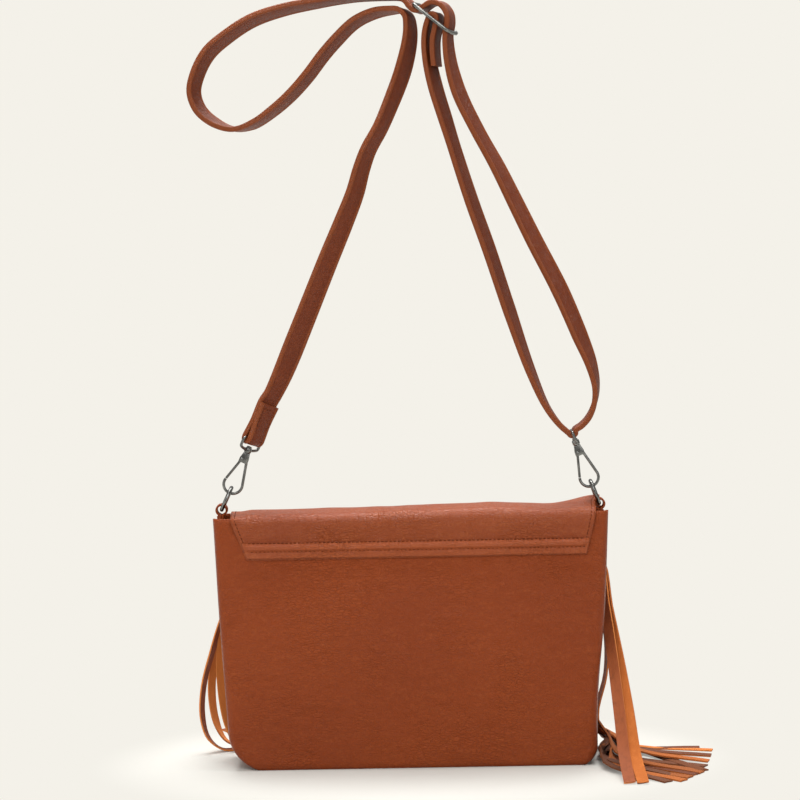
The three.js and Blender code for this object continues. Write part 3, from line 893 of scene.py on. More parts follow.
@dataclass
class Body:
    """Panels, gusset, seams and lining of the bag."""

    shape: BagShape
    finishes: Finishes
    gusset_leather: float = 1.4
    left_sink: float = 2.2
    right_sink: float = 0.3
    welt: float = 0.85
    pieces: list[Piece] = field(default_factory=list)

    def wrinkle(self, x: float, z: float, seed: float) -> float:
        """Gives the soft unevenness of the leather.

        Args:
            x: Across the bag.
            z: Height.
            seed: Picks another pattern.

        Returns:
            How far the leather stands out.
        """
        wide = noise.noise(Vector((x / 55, z / 48, seed)))
        small = noise.noise(Vector((x / 24 + z / 90, z / 11, seed + 4)))
        upper = smooth(0.35, 0.8, z / self.shape.height)
        return 0.9 * wide + 0.28 * small * (0.35 + upper)

    def panel(self, side: Side) -> Piece:
        """Builds one broad panel with rolled edges.

        Args:
            side: Which panel.

        Returns:
            The panel.
        """
        shape = self.shape
        rows = shape.rows(shape.height)
        sign = side.value

        def where(u: float, v: float) -> Vector:
            """Gives a place on the panel.

            Args:
                u: Share across.
                v: Share up.

            Returns:
                The place in millimetres.
            """
            z = rows[round(v * (len(rows) - 1))]
            left, right = shape.edge(z, False), shape.edge(z, True)
            share = lerp(u, 0.5 - 0.5 * math.cos(math.pi * u), 0.55)
            x = lerp(left, right, share)
            near = min(x - left, right - x, z)
            reach = max(0.0, shape.roll - near)
            turned = shape.roll - math.sqrt(max(0.0, shape.roll ** 2 - reach ** 2))
            calm = smooth(0, 16, min(x - left, right - x)) * smooth(0, 14, z)
            y = shape.face(x, z) + self.wrinkle(x, z, 3.0 * sign) * calm - turned
            sunk = z * (1 - shape.drop(x) / shape.height)
            return Vector((x, sign * y, max(sunk, 0.3)))

        bm = bmesh.new()
        grid(bm, 120, len(rows) - 1, where)
        name = f"{side.name.lower()}_panel"
        piece = made(bm, f"{name}_leather", self.finishes.panel)
        return keep(thicken(piece, shape.leather, -1), name, slot="body_leather")

    def gusset(self) -> Piece:
        """Builds the strip that joins the panels round the sides and base.

        Returns:
            The gusset.
        """
        shape = self.shape
        outline = shape.outline(shape.height - 8)
        half = shape.top_width / 2

        def where(u: float, v: float) -> Vector:
            """Gives a place on the gusset.

            Args:
                u: Share from back to front.
                v: Share along the outline.

            Returns:
                The place in millimetres.
            """
            x, z = outline[round(v * (len(outline) - 1))]
            t = 2 * u - 1
            upright = smooth(6, 60, z)
            hollow = self.right_sink if x > 0 else self.left_sink
            sink = 0.5 + hollow * upright * (1 - t * t) * smooth(shape.height + 30, 120, z)
            x -= math.copysign(sink * smooth(0.6 * half, 0.9 * half, abs(x)), x)
            y = t * (shape.half_depth(z) - shape.roll + 0.4)
            return Vector((x, y, max(z, 0.0) + 0.5 * (1 - upright)))

        bm = bmesh.new()
        grid(bm, 16, len(outline) - 1, where)
        piece = made(bm, "gusset_leather", self.finishes.panel)
        return keep(thicken(piece, self.gusset_leather, 0), "gusset", slot="body_leather")

    def welts(self) -> Piece:
        """Builds the turned seam edges where the panels meet the gusset.

        Returns:
            Both welts.
        """
        shape = self.shape
        bm = bmesh.new()
        for sign in (-1, 1):
            points = []
            for x, z in shape.outline(shape.height - 5):
                y = shape.half_depth(z) - shape.roll + 0.3
                points.append(Vector((x, sign * y, max(z, 0.9))))
            sweep(bm, planar(points, DEPTHWISE), circle(self.welt, 8))
        return keep(made(bm, "seam_welts", self.finishes.panel), slot="body_leather")

    def hem(self) -> Piece:
        """Sews the turned top edges of both panels.

        Returns:
            The stitches.
        """
        shape = self.shape
        bm = bmesh.new()
        z = shape.height - 4.2
        for sign in (-1, 1):
            path = []
            for x in range(-131, 132, 3):
                y = shape.face(x, z) + self.wrinkle(x, z, 3.0 * sign) + 0.1
                path.append(Vector((x, sign * y, z - shape.drop(x))))
            stitches(bm, path, DEPTHWISE * sign)
        return keep(made(bm, "hem_stitches", self.finishes.thread))

    def build(self, frame: Mapping[str, Any]) -> None:
        """Builds and dresses the body.

        Args:
            frame: The loaded CAD frame.
        """
        panels = [self.panel(side) for side in Side]
        self.pieces = [*panels, self.gusset(), self.welts(), self.hem()]
        dress(frame, "lining", self.finishes.lining)


@dataclass
class Flap:
    """The flap from its seam on the back over the crown to the front."""

    shape: BagShape
    finishes: Finishes
    shift: float = 2.5
    half_seam: float = 117.5
    half_fold: float = 124.5
    half_front: float = 127.5
    seam_height: float = 149
    front_height: float = 142
    strip_width: float = 10.5
    strip_leather: float = 0.9
    flare: float = 31
    back_gap: float = 1.5
    front_gap: float = 4.2
    fold: float = 5.5
    fold_share: float = 0.27
    loft: float = 1.7
    crown: float = 2.6
    ear: float = 5.4
    left_reach: float = 4.0
    right_reach: float = 2.6
    ear_reach: float = 3.6
    pieces: list[Piece] = field(default_factory=list)

    def profile(self, x: float) -> list[Pair]:
        """Gives the middle of the leather from seam to front edge at one X.

        Args:
            x: Across the bag.

        Returns:
            Points as (y, z).
        """
        shape = self.shape
        top = shape.height
        back = -shape.half_depth(top) - self.back_gap - self.loft
        front = shape.half_depth(top) + self.front_gap
        crown = self.crown + 1.9 * hump(x, 52, 48) - 1.3 * hump(x, 94, 18) - 0.6 * hump(x, -80, 50)
        crown -= 2.0 * smooth(self.half_fold - 9, self.half_fold, self.shift - x)
        ear = self.ear * smooth(99, 136, x)
        middle, half = (back + front) / 2, (front - back) / 2
        path, over = [], []
        for i in range(13):
            z = lerp(self.seam_height, top - self.fold * min(1.0, crown / self.crown), i / 12)
            loft = self.loft * smooth(self.seam_height + self.strip_width, top - self.fold, z)
            path.append((-shape.face(x, z) - self.back_gap - loft, z))
        for i in range(7, 24):
            turn = math.pi * (1 - i / 24)
            ahead = math.cos(turn)
            lift = ear * smooth(-0.75, 0.45, ahead) * smooth(1.25, 0.8, ahead)
            over.append((middle + half * ahead, top + crown * math.sin(turn) ** 0.8 + lift))
        start, end = Vector(path[-1]), Vector(over[0])
        corner = Vector((back, lerp(top, end.y, 0.85)))
        for t in (i / 9 for i in range(1, 9)):
            path.append(tuple(start.lerp(corner, t).lerp(corner.lerp(end, t), t)))
        path += over
        for i in range(25):
            z = lerp(top, self.front_height, i / 24)
            slack = ear * 0.75 * smooth(self.front_height, top, z) ** 2
            path.append((shape.face(x, z) + self.front_gap, z + slack))
        return path

    def half_width(self, share: float) -> float:
        """Gives the flap's half width along its length.

        Args:
            share: Share from seam to front edge.

        Returns:
            The half width.
        """
        back = min(1.0, share / self.fold_share)
        front = min(1.0, max(0.0, (share - self.fold_share) / 0.66))
        return lerp(lerp(self.half_seam, self.half_fold, back), self.half_front, front)

    def spot(self, u: float, share: float, above: float = 0.0) -> Vector:
        """Gives a place on the flap.

        Args:
            u: From -1 at the left edge to 1 at the right.
            share: Share from seam to front edge.
            above: Height over the middle of the leather.

        Returns:
            The place.
        """
        right = self.right_reach + self.ear_reach * smooth(0.4, 0.52, share) * smooth(0.9, 0.7, share)
        left = self.left_reach * min(1.0, share / self.fold_share) * smooth(0.95, 0.6, share)
        x = self.shift + u * (self.half_width(share) + (right if u > 0 else left))
        path = [Vector(p) for p in self.profile(x)]
        runs = [(b - a).length for a, b in zip(path, path[1:])]
        ahead = share * sum(runs)
        for i, run in enumerate(runs):
            if ahead <= run or i == len(runs) - 1:
                here = path[i].lerp(path[i + 1], ahead / run)
                along = (path[i + 1] - path[i]).normalized()
                break
            ahead -= run
        ripple = 0.35 * noise.noise(Vector((x / 16, share * 9, 7.0)))
        ripple += 0.5 * noise.noise(Vector((x / 45, share * 3, 2.0)))
        ripple *= smooth(0.0, 0.14, share) * smooth(1.0, 0.9, share)
        over = above + ripple
        sunk = self.shape.drop(x) * smooth(self.seam_height - 30, self.shape.height, here.y)
        return Vector((x, here.x - along.y * over, here.y + along.x * over - sunk))

    def sheet(self) -> Piece:
        """Builds the flap's leather.

        Returns:
            The flap.
        """
        bm = bmesh.new()
        grid(bm, 110, 84, lambda u, v: self.spot(2 * u - 1, v))
        piece = made(bm, "flap_leather_sheet", self.finishes.flap)
        return keep(thicken(piece, self.shape.leather, 0), "flap", slot="body_leather")

    def seam_half(self, z: float) -> float:
        """Gives the flap's half width at a height just above its seam."""
        return lerp(self.half_seam, self.half_fold, (z - self.seam_height) / self.flare)

    def strip_level(self, share: float) -> float:
        """Gives the height at a share of the seam strip's width."""
        return lerp(self.seam_height - 0.4, self.seam_height + self.strip_width, share)

    def strip_height(self, share: float) -> float:
        """Gives the seam strip's relief over its width.

        Args:
            share: Share from the lower edge to the upper one.

        Returns:
            The height over the strip's base.
        """
        roll = 2.0 * smooth(0.42, 0.6, share) * smooth(0.97, 0.78, share)
        lip = 0.5 * smooth(0.0, 0.1, share) * smooth(0.44, 0.3, share)
        return 0.5 * smooth(1.0, 0.9, share) + roll + lip

    def strip(self) -> Piece:
        """Builds the raised strip over the seam.

        Returns:
            The strip.
        """
        def where(u: float, v: float) -> Vector:
            """Gives a place on the strip.

            Args:
                u: Share across.
                v: Share up.

            Returns:
                The place in millimetres.
            """
            z = self.strip_level(v)
            x = self.shift + (2 * u - 1) * (self.seam_half(z) - 0.2) + self.right_reach * u
            x -= self.left_reach * (1 - u) * (z - self.seam_height) / self.flare
            rows = hump(v, 0.42, 0.12) + hump(v, 0.95, 0.1)
            above = self.strip_height(v) + 0.16 * math.sin(2 * math.pi * x / 2.9) * rows
            above += 0.12 * noise.noise(Vector((x / 9, z / 5, 1)))
            above *= 0.35 + 0.65 * smooth(0, 0.02, u) * smooth(1, 0.98, u)
            return Vector((x, -self.shape.face(x, z) - 2.6 - above, z))

        bm = bmesh.new()
        grid(bm, 300, 24, where)
        piece = made(bm, "seam_strip_leather", self.finishes.strip)
        return keep(thicken(piece, self.strip_leather, -1), "flap_seam_strip", slot="body_leather")

    def sewing(self) -> Piece:
        """Sews the strip's two rows and the flap's side edges.

        Returns:
            The stitches.
        """
        bm = bmesh.new()
        for share in (0.43, 0.97):
            z = self.strip_level(share)
            half = self.seam_half(z) - 3
            path = []
            for i in range(121):
                x = self.shift + lerp(-half, half + self.right_reach, i / 120)
                path.append(Vector((x, -self.shape.face(x, z) - 3.05, z)))
            stitches(bm, path, TO_CAMERA)
        for side in (-1, 1):
            edge = [self.spot(side * 0.976, lerp(0.0, 0.94, i / 60), 0.85) for i in range(61)]
            for i in range(0, 60, 3):
                flat = (edge[i + 3] - edge[i]).cross(Vector((1, 0, 0)))
                inward = flat.y * edge[i].y < 0 or flat.z < -1
                stitches(bm, edge[i:i + 4], -flat if inward else flat)
        return keep(made(bm, "flap_stitches", self.finishes.thread))

    def build(self, frame: Mapping[str, Any]) -> None:
        """Builds and dresses the flap.

        Args:
            frame: The loaded CAD frame.
        """
        self.pieces = [self.sheet(), self.strip(), self.sewing()]
        for node in ("snap_socket", "snap_stud"):
            dress(frame, node, self.finishes.metal)


class Showing(Enum):
    """Which side of a fringe strip its first face carries."""

    SUEDE = 0.0
    GRAIN = 0.5


@dataclass(frozen=True)
class Strip:
    """One fringe strip."""

    route: Sequence[RoutePoint]
    showing: Showing = Showing.SUEDE
    width: float = 8.0
    # Brightness of the strip's colour: a tone above 1 is painted light, a tone below 0 is painted shade.
    tone: float = 0.5


# Loose strips: three loops at the left, one loop and three long strips at the right
LOOSE_STRIPS = (
    # The three left loops take a raised tone: painted light that brightens them.
    Strip(
        (
            (-117, 21.7, 150, 0), (-118, 21.8, 139, 5), (-136, 29, 100, 52), (-145, 31, 74, 62),
            (-151.5, 31, 50, 64), (-153, 31, 28, 66), (-149, 34, 11, 82), (-139, 38, 1.6, 110),
            (-124, 45, 0.9, 115), (-103, 55, 0.9, 115),
        ),
        Showing.GRAIN, 6.5, tone=1.1,
    ),
    Strip(
        (
            (-110, 21.9, 150, 0), (-111, 22, 139, 5), (-130, 31, 104, 30), (-138, 34, 76, 30),
            (-138, 33, 46, 35), (-135, 34, 24, 45), (-130, 38, 8, 80), (-121, 44, 1.2, 125),
            (-104, 60, 0.9, 135), (-88, 80, 0.9, 138),
        ),
        tone=1.1,
    ),
    Strip(
        (
            (-113, 22.5, 150, 0), (-115, 23, 139, 5), (-134, 36, 98, 35), (-143, 40, 72, 45),
            (-146.5, 40, 46, 48), (-144, 41, 22, 60), (-137, 44, 7, 90), (-126, 50, 1.4, 118),
            (-108, 62, 0.9, 122),
        ),
        Showing.SUEDE, 7, tone=1.2,
    ),
    Strip(
        (
            (109, 21.9, 150, 0), (110, 22, 139, -5), (134, 32, 110, -62), (139.5, 29, 82, -72),
            (139, 29, 54, -75), (132.5, 32, 24, -70), (137, 34, 7, -70), (163, 25, 1.4, -85),
            (213, 11, 0.9, -95),
        ),
        Showing.GRAIN, 6,
    ),
    Strip(
        (
            (116, 21.7, 150, 0), (118, 21.7, 139, -10), (134.5, 27, 136, -75), (138, 10, 107, -58),
            (140.5, -13, 73, -38), (142.5, -38, 40, -26), (143.5, -62, 14, -20), (144.5, -89, 1.2, -15),
        ),
        Showing.GRAIN,
    ),
    Strip(
        (
            (123, 21.5, 150, 0), (125, 21.5, 139, -10), (136, 28, 138, -75), (140.5, 9, 105, -60),
            (145.5, -14, 69, -42), (149, -38, 39, -30), (151.2, -60, 14, -22), (153.4, -90, 1.2, -15),
        ),
    ),
    Strip(
        (
            (121, 22.5, 150, 0), (123, 22.5, 139, -10), (136.2, 30, 137, -75), (139.6, 12, 106, -62),
            (144.4, -10, 70, -44), (147.6, -34, 40, -30), (149.4, -57, 15, -22), (150.8, -82, 1.2, -16),
        ),
    ),
)

# Middle and end of each strip of the fan on the floor, as (x, y, x, y)
FAN = (
    (152, 24, 205, 20), (160, 10, 199, -54), (156, 6, 210, -6), (160, -10, 206, -24), (152, -12, 202, -40),
    (142, -20, 193, -52), (134, -18, 192, -66), (133, -30, 176, -66), (138, -34, 187, -74),
    (142, -46, 182, -83), (134, -42, 171, -86), (148, -30, 197, -60),
)


@dataclass
class Fringe:
    """The curtain of strips under the flap's front edge."""

    shape: BagShape
    finishes: Finishes
    count: int = 28
    thick: float = 1.2
    cup: float = 0.25
    middle: float = 2.5
    half: float = 125.5
    first: int = 2
    last: int = 20
    fan_start: float = 58
    fan_pitch: float = 5.4
    lowest: float = 0.2
    pieces: list[Piece] = field(default_factory=list)

    def hanging(self, index: int) -> Strip:
        """Works out a regular strip of the curtain.

        Args:
            index: Its number from the left.

        Returns:
            The strip.
        """
        part = (index + 0.5) / self.count
        x = self.middle + (2 * part - 1) * self.half
        end = max(0.0, (part - 0.62) / 0.38)
        heading = -28 + 46 * part + 62 * end + 4 * math.sin(2.4 * index)
        sway = 2 * math.sin(1.7 * index)
        lie = 88 + 12 * math.sin(3.1 * index)
        bearing = math.radians(heading)
        go = Vector((math.sin(bearing), math.cos(bearing)))
        foot = Vector((x + sway, self.shape.face(x, 10) + 11))

        def hung(z: float, away: float, share: float) -> RoutePoint:
            """Gives a point that hangs in front of the panel."""
            return x + sway * share, self.shape.face(x, z) + away, z, -heading * share

        def laid(far: float, z: float) -> RoutePoint:
            """Gives a point on the floor."""
            spot = foot + go * far
            return spot.x, spot.y, z, -heading

        route = (
            hung(150, 2.5, 0), hung(138, 2.3, 0), hung(95, 3.4, 0.4), hung(45, 5.5, 0.7),
            laid(0, 12), laid(9, 2), laid(lie / 2, 0.9), laid(lie, 0.9),
        )
        return Strip(route)

    def fanned(self, index: int) -> Strip:
        """Works out a strip that leaves the curtain's end and fans out over the floor.

        Args:
            index: Its number from the left of the fan.

        Returns:
            The strip.
        """
        across, near, far, end = FAN[index]
        x = self.fan_start + self.fan_pitch * index
        up = 1.2 + 1.3 * (index % 4)

        def hung(z: float, away: float) -> RoutePoint:
            """Gives a point that hangs in front of the panel."""
            return x, self.shape.face(x, z) + away, z, 0.0

        route = (
            hung(150, 2.5), hung(138, 2.3), hung(95, 4.0),
            (x + 5, self.shape.face(x, 45) + 8, 45, -30),
            (lerp(x, 132, 0.55), 41 - 0.4 * index, 19 + 1.2 * index, -70),
            (136 + 0.2 * index, 32 - 1.2 * index, up + 9, -88),
            (across, near, up + 1, -95),
            (far, end, 0.9, -95),
        )
        showing = Showing.GRAIN if index in (1, 3, 5, 8, 9, 11) else Showing.SUEDE
        # The fan's strips on the floor take a low tone: painted shade that darkens them.
        return Strip(route, showing, tone=-0.55)

    def build(self) -> None:
        """Builds and dresses every strip."""
        bm = bmesh.new()
        tones = bm.faces.layers.float.new("tone")
        curtain = [self.hanging(i) for i in range(self.first, self.last)]
        strips = [*LOOSE_STRIPS, *curtain, *(self.fanned(i) for i in range(len(FAN)))]
        uv = bm.loops.layers.uv.verify()
        for number, strip in enumerate(strips):
            section = ribbon(strip.width, self.thick, self.cup)
            verts = sweep(bm, Band(strip.route).stations(), section)
            # Each strip's tone is its painted light or shade plus a random spread.
            tone = strip.tone + 0.4 * math.sin(2.1 * number)
            for face in {f for v in verts for f in v.link_faces}:
                face[tones] = tone
                least = min(loop[uv].uv.x for loop in face.loops) + strip.showing.value
                shift = strip.showing.value - (strip.showing is Showing.GRAIN and least >= 0.999)
                for loop in face.loops:
                    loop[uv].uv.x += shift
        for vert in bm.verts:
            vert.co.z = max(vert.co.z, self.lowest * MM)
        piece = made(bm, "fringe_strips", self.finishes.fringe)
        self.pieces = [keep(piece, "fringe", slot="fringe_leather")]


# Clips and strap
TAB_X = 133.1
TAB_Z = 181.0
RING_RADIUS = 8.5
BOW_RADIUS = 6.6
BOW_Z = 19.7
PIVOT = (-1.6, 38.8)
BLOCK_LOW = 36.6
BLOCK_TOP = 44.1
SWIVEL_Z = 46.1
EYE_Z = 54.6


@dataclass
class ClipChain:
    """A side tab with its ring and swivel hook."""

    name: str
    side: int
    tilt: float
    eye_turn: float
    finishes: Finishes
    pieces: list[Piece] = field(default_factory=list)

    @property
    def frame(self) -> Matrix:
        """Gives the hook's own frame, with its origin in the tab's loop."""
        return Matrix.Translation((self.side * TAB_X, 0, TAB_Z)) @ spin(self.tilt, "Y")

    @property
    def eye_frame(self) -> Matrix:
        """Gives the hook's frame turned about the pull as the eye is."""
        return self.frame @ spin(self.eye_turn, "Z")

    @property
    def axle(self) -> Matrix:
        """Gives the frame of the gate's pin, with Z along it."""
        return self.frame @ Matrix.Translation((PIVOT[0], 0, PIVOT[1])) @ spin(-90, "X")

    def wire(self, bm: Mesh, flat: Sequence[Pair], radius: float, base: Matrix) -> None:
        """Adds round wire along a flat path."""
        points = [base @ Vector((x, 0, z)) for x, z in flat]
        sweep(bm, planar(points, base.to_3x3() @ DEPTHWISE), circle(radius))

    def lathe(self, bm: Mesh, profile: Sequence[Pair], base: Matrix, sides: int = 28) -> None:
        """Turns a closed profile about an axis.

        Args:
            bm: Mesh to add to.
            profile: Points as (radius, along).
            base: Frame whose Z is the axis.
            sides: Steps round the axis.
        """
        turn = base.to_3x3()
        axis = turn @ Vector((0, 0, 1))
        stations = []
        for a, b in circle(1, sides):
            stations.append(Station(base.translation, turn @ Vector((a, b, 0)), axis))
        sweep(bm, stations, profile, closed=True)

    def bow(self, angle: float) -> Pair:
        """Gives the point of the hook's bow at an angle in radians."""
        return BOW_RADIUS * math.cos(angle), BOW_Z + BOW_RADIUS * math.sin(angle)

    def touch(self, x: float, z: float) -> float:
        """Gives the bow's angle where a line from a point above touches it."""
        rise = z - BOW_Z
        return math.atan2(rise, abs(x)) - math.acos(BOW_RADIUS / math.hypot(x, rise))

    def metal(self, bm: Mesh, part: str, body: str, node: str) -> None:
        """Makes a metal piece and fixes it to its body."""
        piece = made(bm, f"{self.name}_{part}_metal", self.finishes.metal)
        self.pieces.append(keep(piece, f"{self.name}_{node}", slot="hardware", body=body))

    def tab(self) -> None:
        """Builds the leather loop that holds the ring."""
        turns = [math.radians(lerp(-78, 258, i / 36)) for i in range(37)]
        flat = [(0.72, -14), (0.72, -9), (0.76, -5)]
        flat += [(3.6 * math.cos(t), 3.6 * math.sin(t)) for t in turns]
        flat += [(-0.76, -5), (-0.72, -9), (-0.72, -14)]
        points = [Vector((self.side * TAB_X + x, 0, TAB_Z + z)) for x, z in flat]
        bm = bmesh.new()
        low = [(-4, -0.45), (-3.75, -0.7), (0, -0.72), (3.75, -0.7), (4, -0.45)]
        sweep(bm, planar(points, DEPTHWISE), mirrored(low))
        piece = made(bm, f"{self.name}_tab_leather", self.finishes.panel)
        self.pieces.append(keep(piece, f"{self.name}_ring_tab", slot="body_leather"))

    def ring(self) -> None:
        """Builds the ring through the tab."""
        bm = bmesh.new()
        base = self.frame @ Matrix.Translation((0, 0, RING_RADIUS)) @ spin(90, "Y")
        self.lathe(bm, [(RING_RADIUS + a, b) for a, b in circle(1.4, 16)], base, 56)
        self.metal(bm, "ring", f"{self.name}_ring", "ring")

    def hook(self) -> None:
        """Builds the hook's block, bow and post with its rivet."""
        bm = bmesh.new()
        start = (2.3, BLOCK_LOW + 1.5)
        first, nose = self.touch(*start), self.touch(*PIVOT)
        turns = [lerp(first, -math.pi - nose, i / 40) for i in range(41)]
        flat = [start, *(self.bow(t) for t in turns)]
        self.wire(bm, flat, 1.0, self.frame)
        levels = ((BLOCK_LOW, 3.3), (BLOCK_LOW + 3, 3.3), (BLOCK_TOP, 2.2))
        turn = self.frame.to_3x3()
        square = [(-1, -1), (1, -1), (1, 1), (-1, 1)]
        blocks = [
            [(z, -half, half, 1.15, 2.0) for z, half in levels],
            [(z, -half, half, -2.0, -1.15) for z, half in levels],
            [(z, 0.3, half, -1.3, 1.3) for z, half in levels],
            [(z, -half, half, -1.3, 1.3) for z, half in ((41.4, 2.86), (BLOCK_TOP, 2.2))],
        ]
        for block in blocks:
            stations = []
            for z, x0, x1, y0, y1 in block:
                spot = self.frame @ Vector(((x0 + x1) / 2, (y0 + y1) / 2, z))
                across, out = Vector(((x1 - x0) / 2, 0, 0)), Vector((0, (y1 - y0) / 2, 0))
                stations.append(Station(spot, turn @ across, turn @ out))
            verts = sweep(bm, stations, square)
            around = dict.fromkeys(e for v in verts for e in v.link_edges)
            edges = [e for e in around if e.calc_face_angle(0) > 0.6]
            bmesh.ops.bevel(
                bm, geom=edges, offset=0.22 * MM, segments=2, profile=0.5,
                affect="EDGES", material=-1,
            )
        top = SWIVEL_Z + 2.0
        post = [(0.02, 43.1), (1.2, 43.1), (1.2, top), (2.0, top + 0.1)]
        head = [(1.9, top + 0.7), (1.2, top + 1), (0.02, top + 1)]
        self.lathe(bm, post + head, self.frame)
        self.metal(bm, "hook", f"{self.name}_hook", "hook_body")
        bm = bmesh.new()
        low = [(0.02, -2.75), (0.7, -2.65), (1.15, -2.4), (1.2, -2.1), (0.7, -2.1)]
        self.lathe(bm, mirrored(low), self.axle, 20)
        self.metal(bm, "rivet", f"{self.name}_hook", "gate_pin")

    def gate(self) -> None:
        """Builds the sprung wire gate."""
        nose = math.pi - self.touch(*PIVOT)
        tip = Vector(self.bow(nose))
        pivot = Vector(PIVOT)
        tip = tip.lerp(pivot, 0.45 / (pivot - tip).length)
        flat = [tuple(tip.lerp(pivot, share)) for share in (0, 0.03, 0.3, 0.6, 0.93)]
        bm = bmesh.new()
        self.wire(bm, flat, 0.9, self.frame)
        low = [(0.85, -0.8), (1.5, -0.8), (1.7, -0.6)]
        self.lathe(bm, mirrored(low), self.axle, 24)
        self.metal(bm, "gate", f"{self.name}_gate", "hook_gate")

    def eye(self) -> None:
        """Builds the swivel eye that carries the strap."""
        bm = bmesh.new()
        low = [(1.45, -1.7), (2.3, -1.7), (2.6, -1.2)]
        profile = [*low, (2.7, 0), *((a, -b) for a, b in reversed(low))]
        self.lathe(bm, profile, self.frame @ Matrix.Translation((0, 0, SWIVEL_Z)))
        leg = 9.3
        right = [(2.4, SWIVEL_Z), (leg - 2, SWIVEL_Z + 1), (leg, SWIVEL_Z + 2), (leg, EYE_Z)]
        corners = right + [(-a, b) for a, b in reversed(right)]
        self.wire(bm, rounded(corners, 1.8), 1.0, self.eye_frame)
        self.metal(bm, "eye", "bag", "hook_eye")

    def build(self) -> None:
        """Builds and dresses the whole chain."""
        self.tab()
        self.ring()
        self.hook()
        self.gate()
        self.eye()


# The strap's route as (x, y, z, turn): from the left clip to the right one, back up, and its tail
STRAP_RISE: tuple[RoutePoint, ...] = (
    (-94, 1, 263, 78), (-75, 0, 307, 68), (-54, 0, 357, 60), (-44, 0, 380, 54), (-35, 0, 402, 46),
    (-30, 0, 419, 40), (-25, 0, 432, 36), (-16, 0, 448, 32), (-7, 0, 470, 28), (0, 0, 491, 22),
    (4, 0, 508, 14), (4.5, 0, 518, 8), (3, 0, 525, 3), (-2, 0, 529, -2), (-9, 0, 529, -8),
    (-19, 0, 527, -16), (-33, 0, 520, -22), (-45, 0, 509, -24), (-55, 0, 498, -24), (-66, 0, 484, -24),
    (-78, 0, 471, -22), (-91, 0, 460, -19), (-105, 0, 451, -14), (-119, 0, 448, 3), (-132, 0, 453, 18),
    (-142, 0, 462, 24), (-146, 0, 474, 26), (-143, 0, 487, 27), (-135, 0, 501, 28), (-122, 0, 512, 26),
    (-104, 0, 523, 24), (-82, 0, 530, 20), (-60, 0, 534, 15), (-37, 0, 537, 9), (-16, 0, 538, 2),
    (-3, 0, 537.5, 0), (3, 0, 535, 0), (6.3, 0, 530.8, 0), (10.5, 0, 528, 0), (16, 0, 530, 0),
    (22, 0, 533, 0), (28.5, 0, 531.5, 0), (33, 0, 526, 0), (34, 0, 519, 0), (32.4, 0, 511, 0),
    (32.6, 0, 502, -3), (34.5, 0, 489, -8), (40, 0, 469, -20), (51, 0, 445, -28), (65, 0, 419, -35),
    (78, 0, 392, -40), (90, 0, 367, -43), (108, 0, 331, -45), (121, 0, 300, -40), (129, 0, 279, -26),
    (132, 0, 263, -12), (130.5, 0, 251, -5), (126.5, 0, 242, -1), (121.5, 0, 236.5, 0),
)
STRAP_RETURN: tuple[RoutePoint, ...] = (
    (106, 0, 237, 1), (97, 0, 250, 7), (86, 0, 276, 18), (72, 0, 318, 28), (58, 0, 362, 30),
    (47, 0, 394, 30), (37, 0, 426, 28), (29, 0, 453, 24), (22, 0, 477, 16), (18, 0, 496, 8),
    (17, 0, 508, 2), (18, 0, 516, 0),
)
STRAP_TAIL: tuple[RoutePoint, ...] = (
    (25, 0, 516, 0), (23, 0, 508, 0), (22.8, 0, 498, 0), (23.6, 0, 489, 0),
)


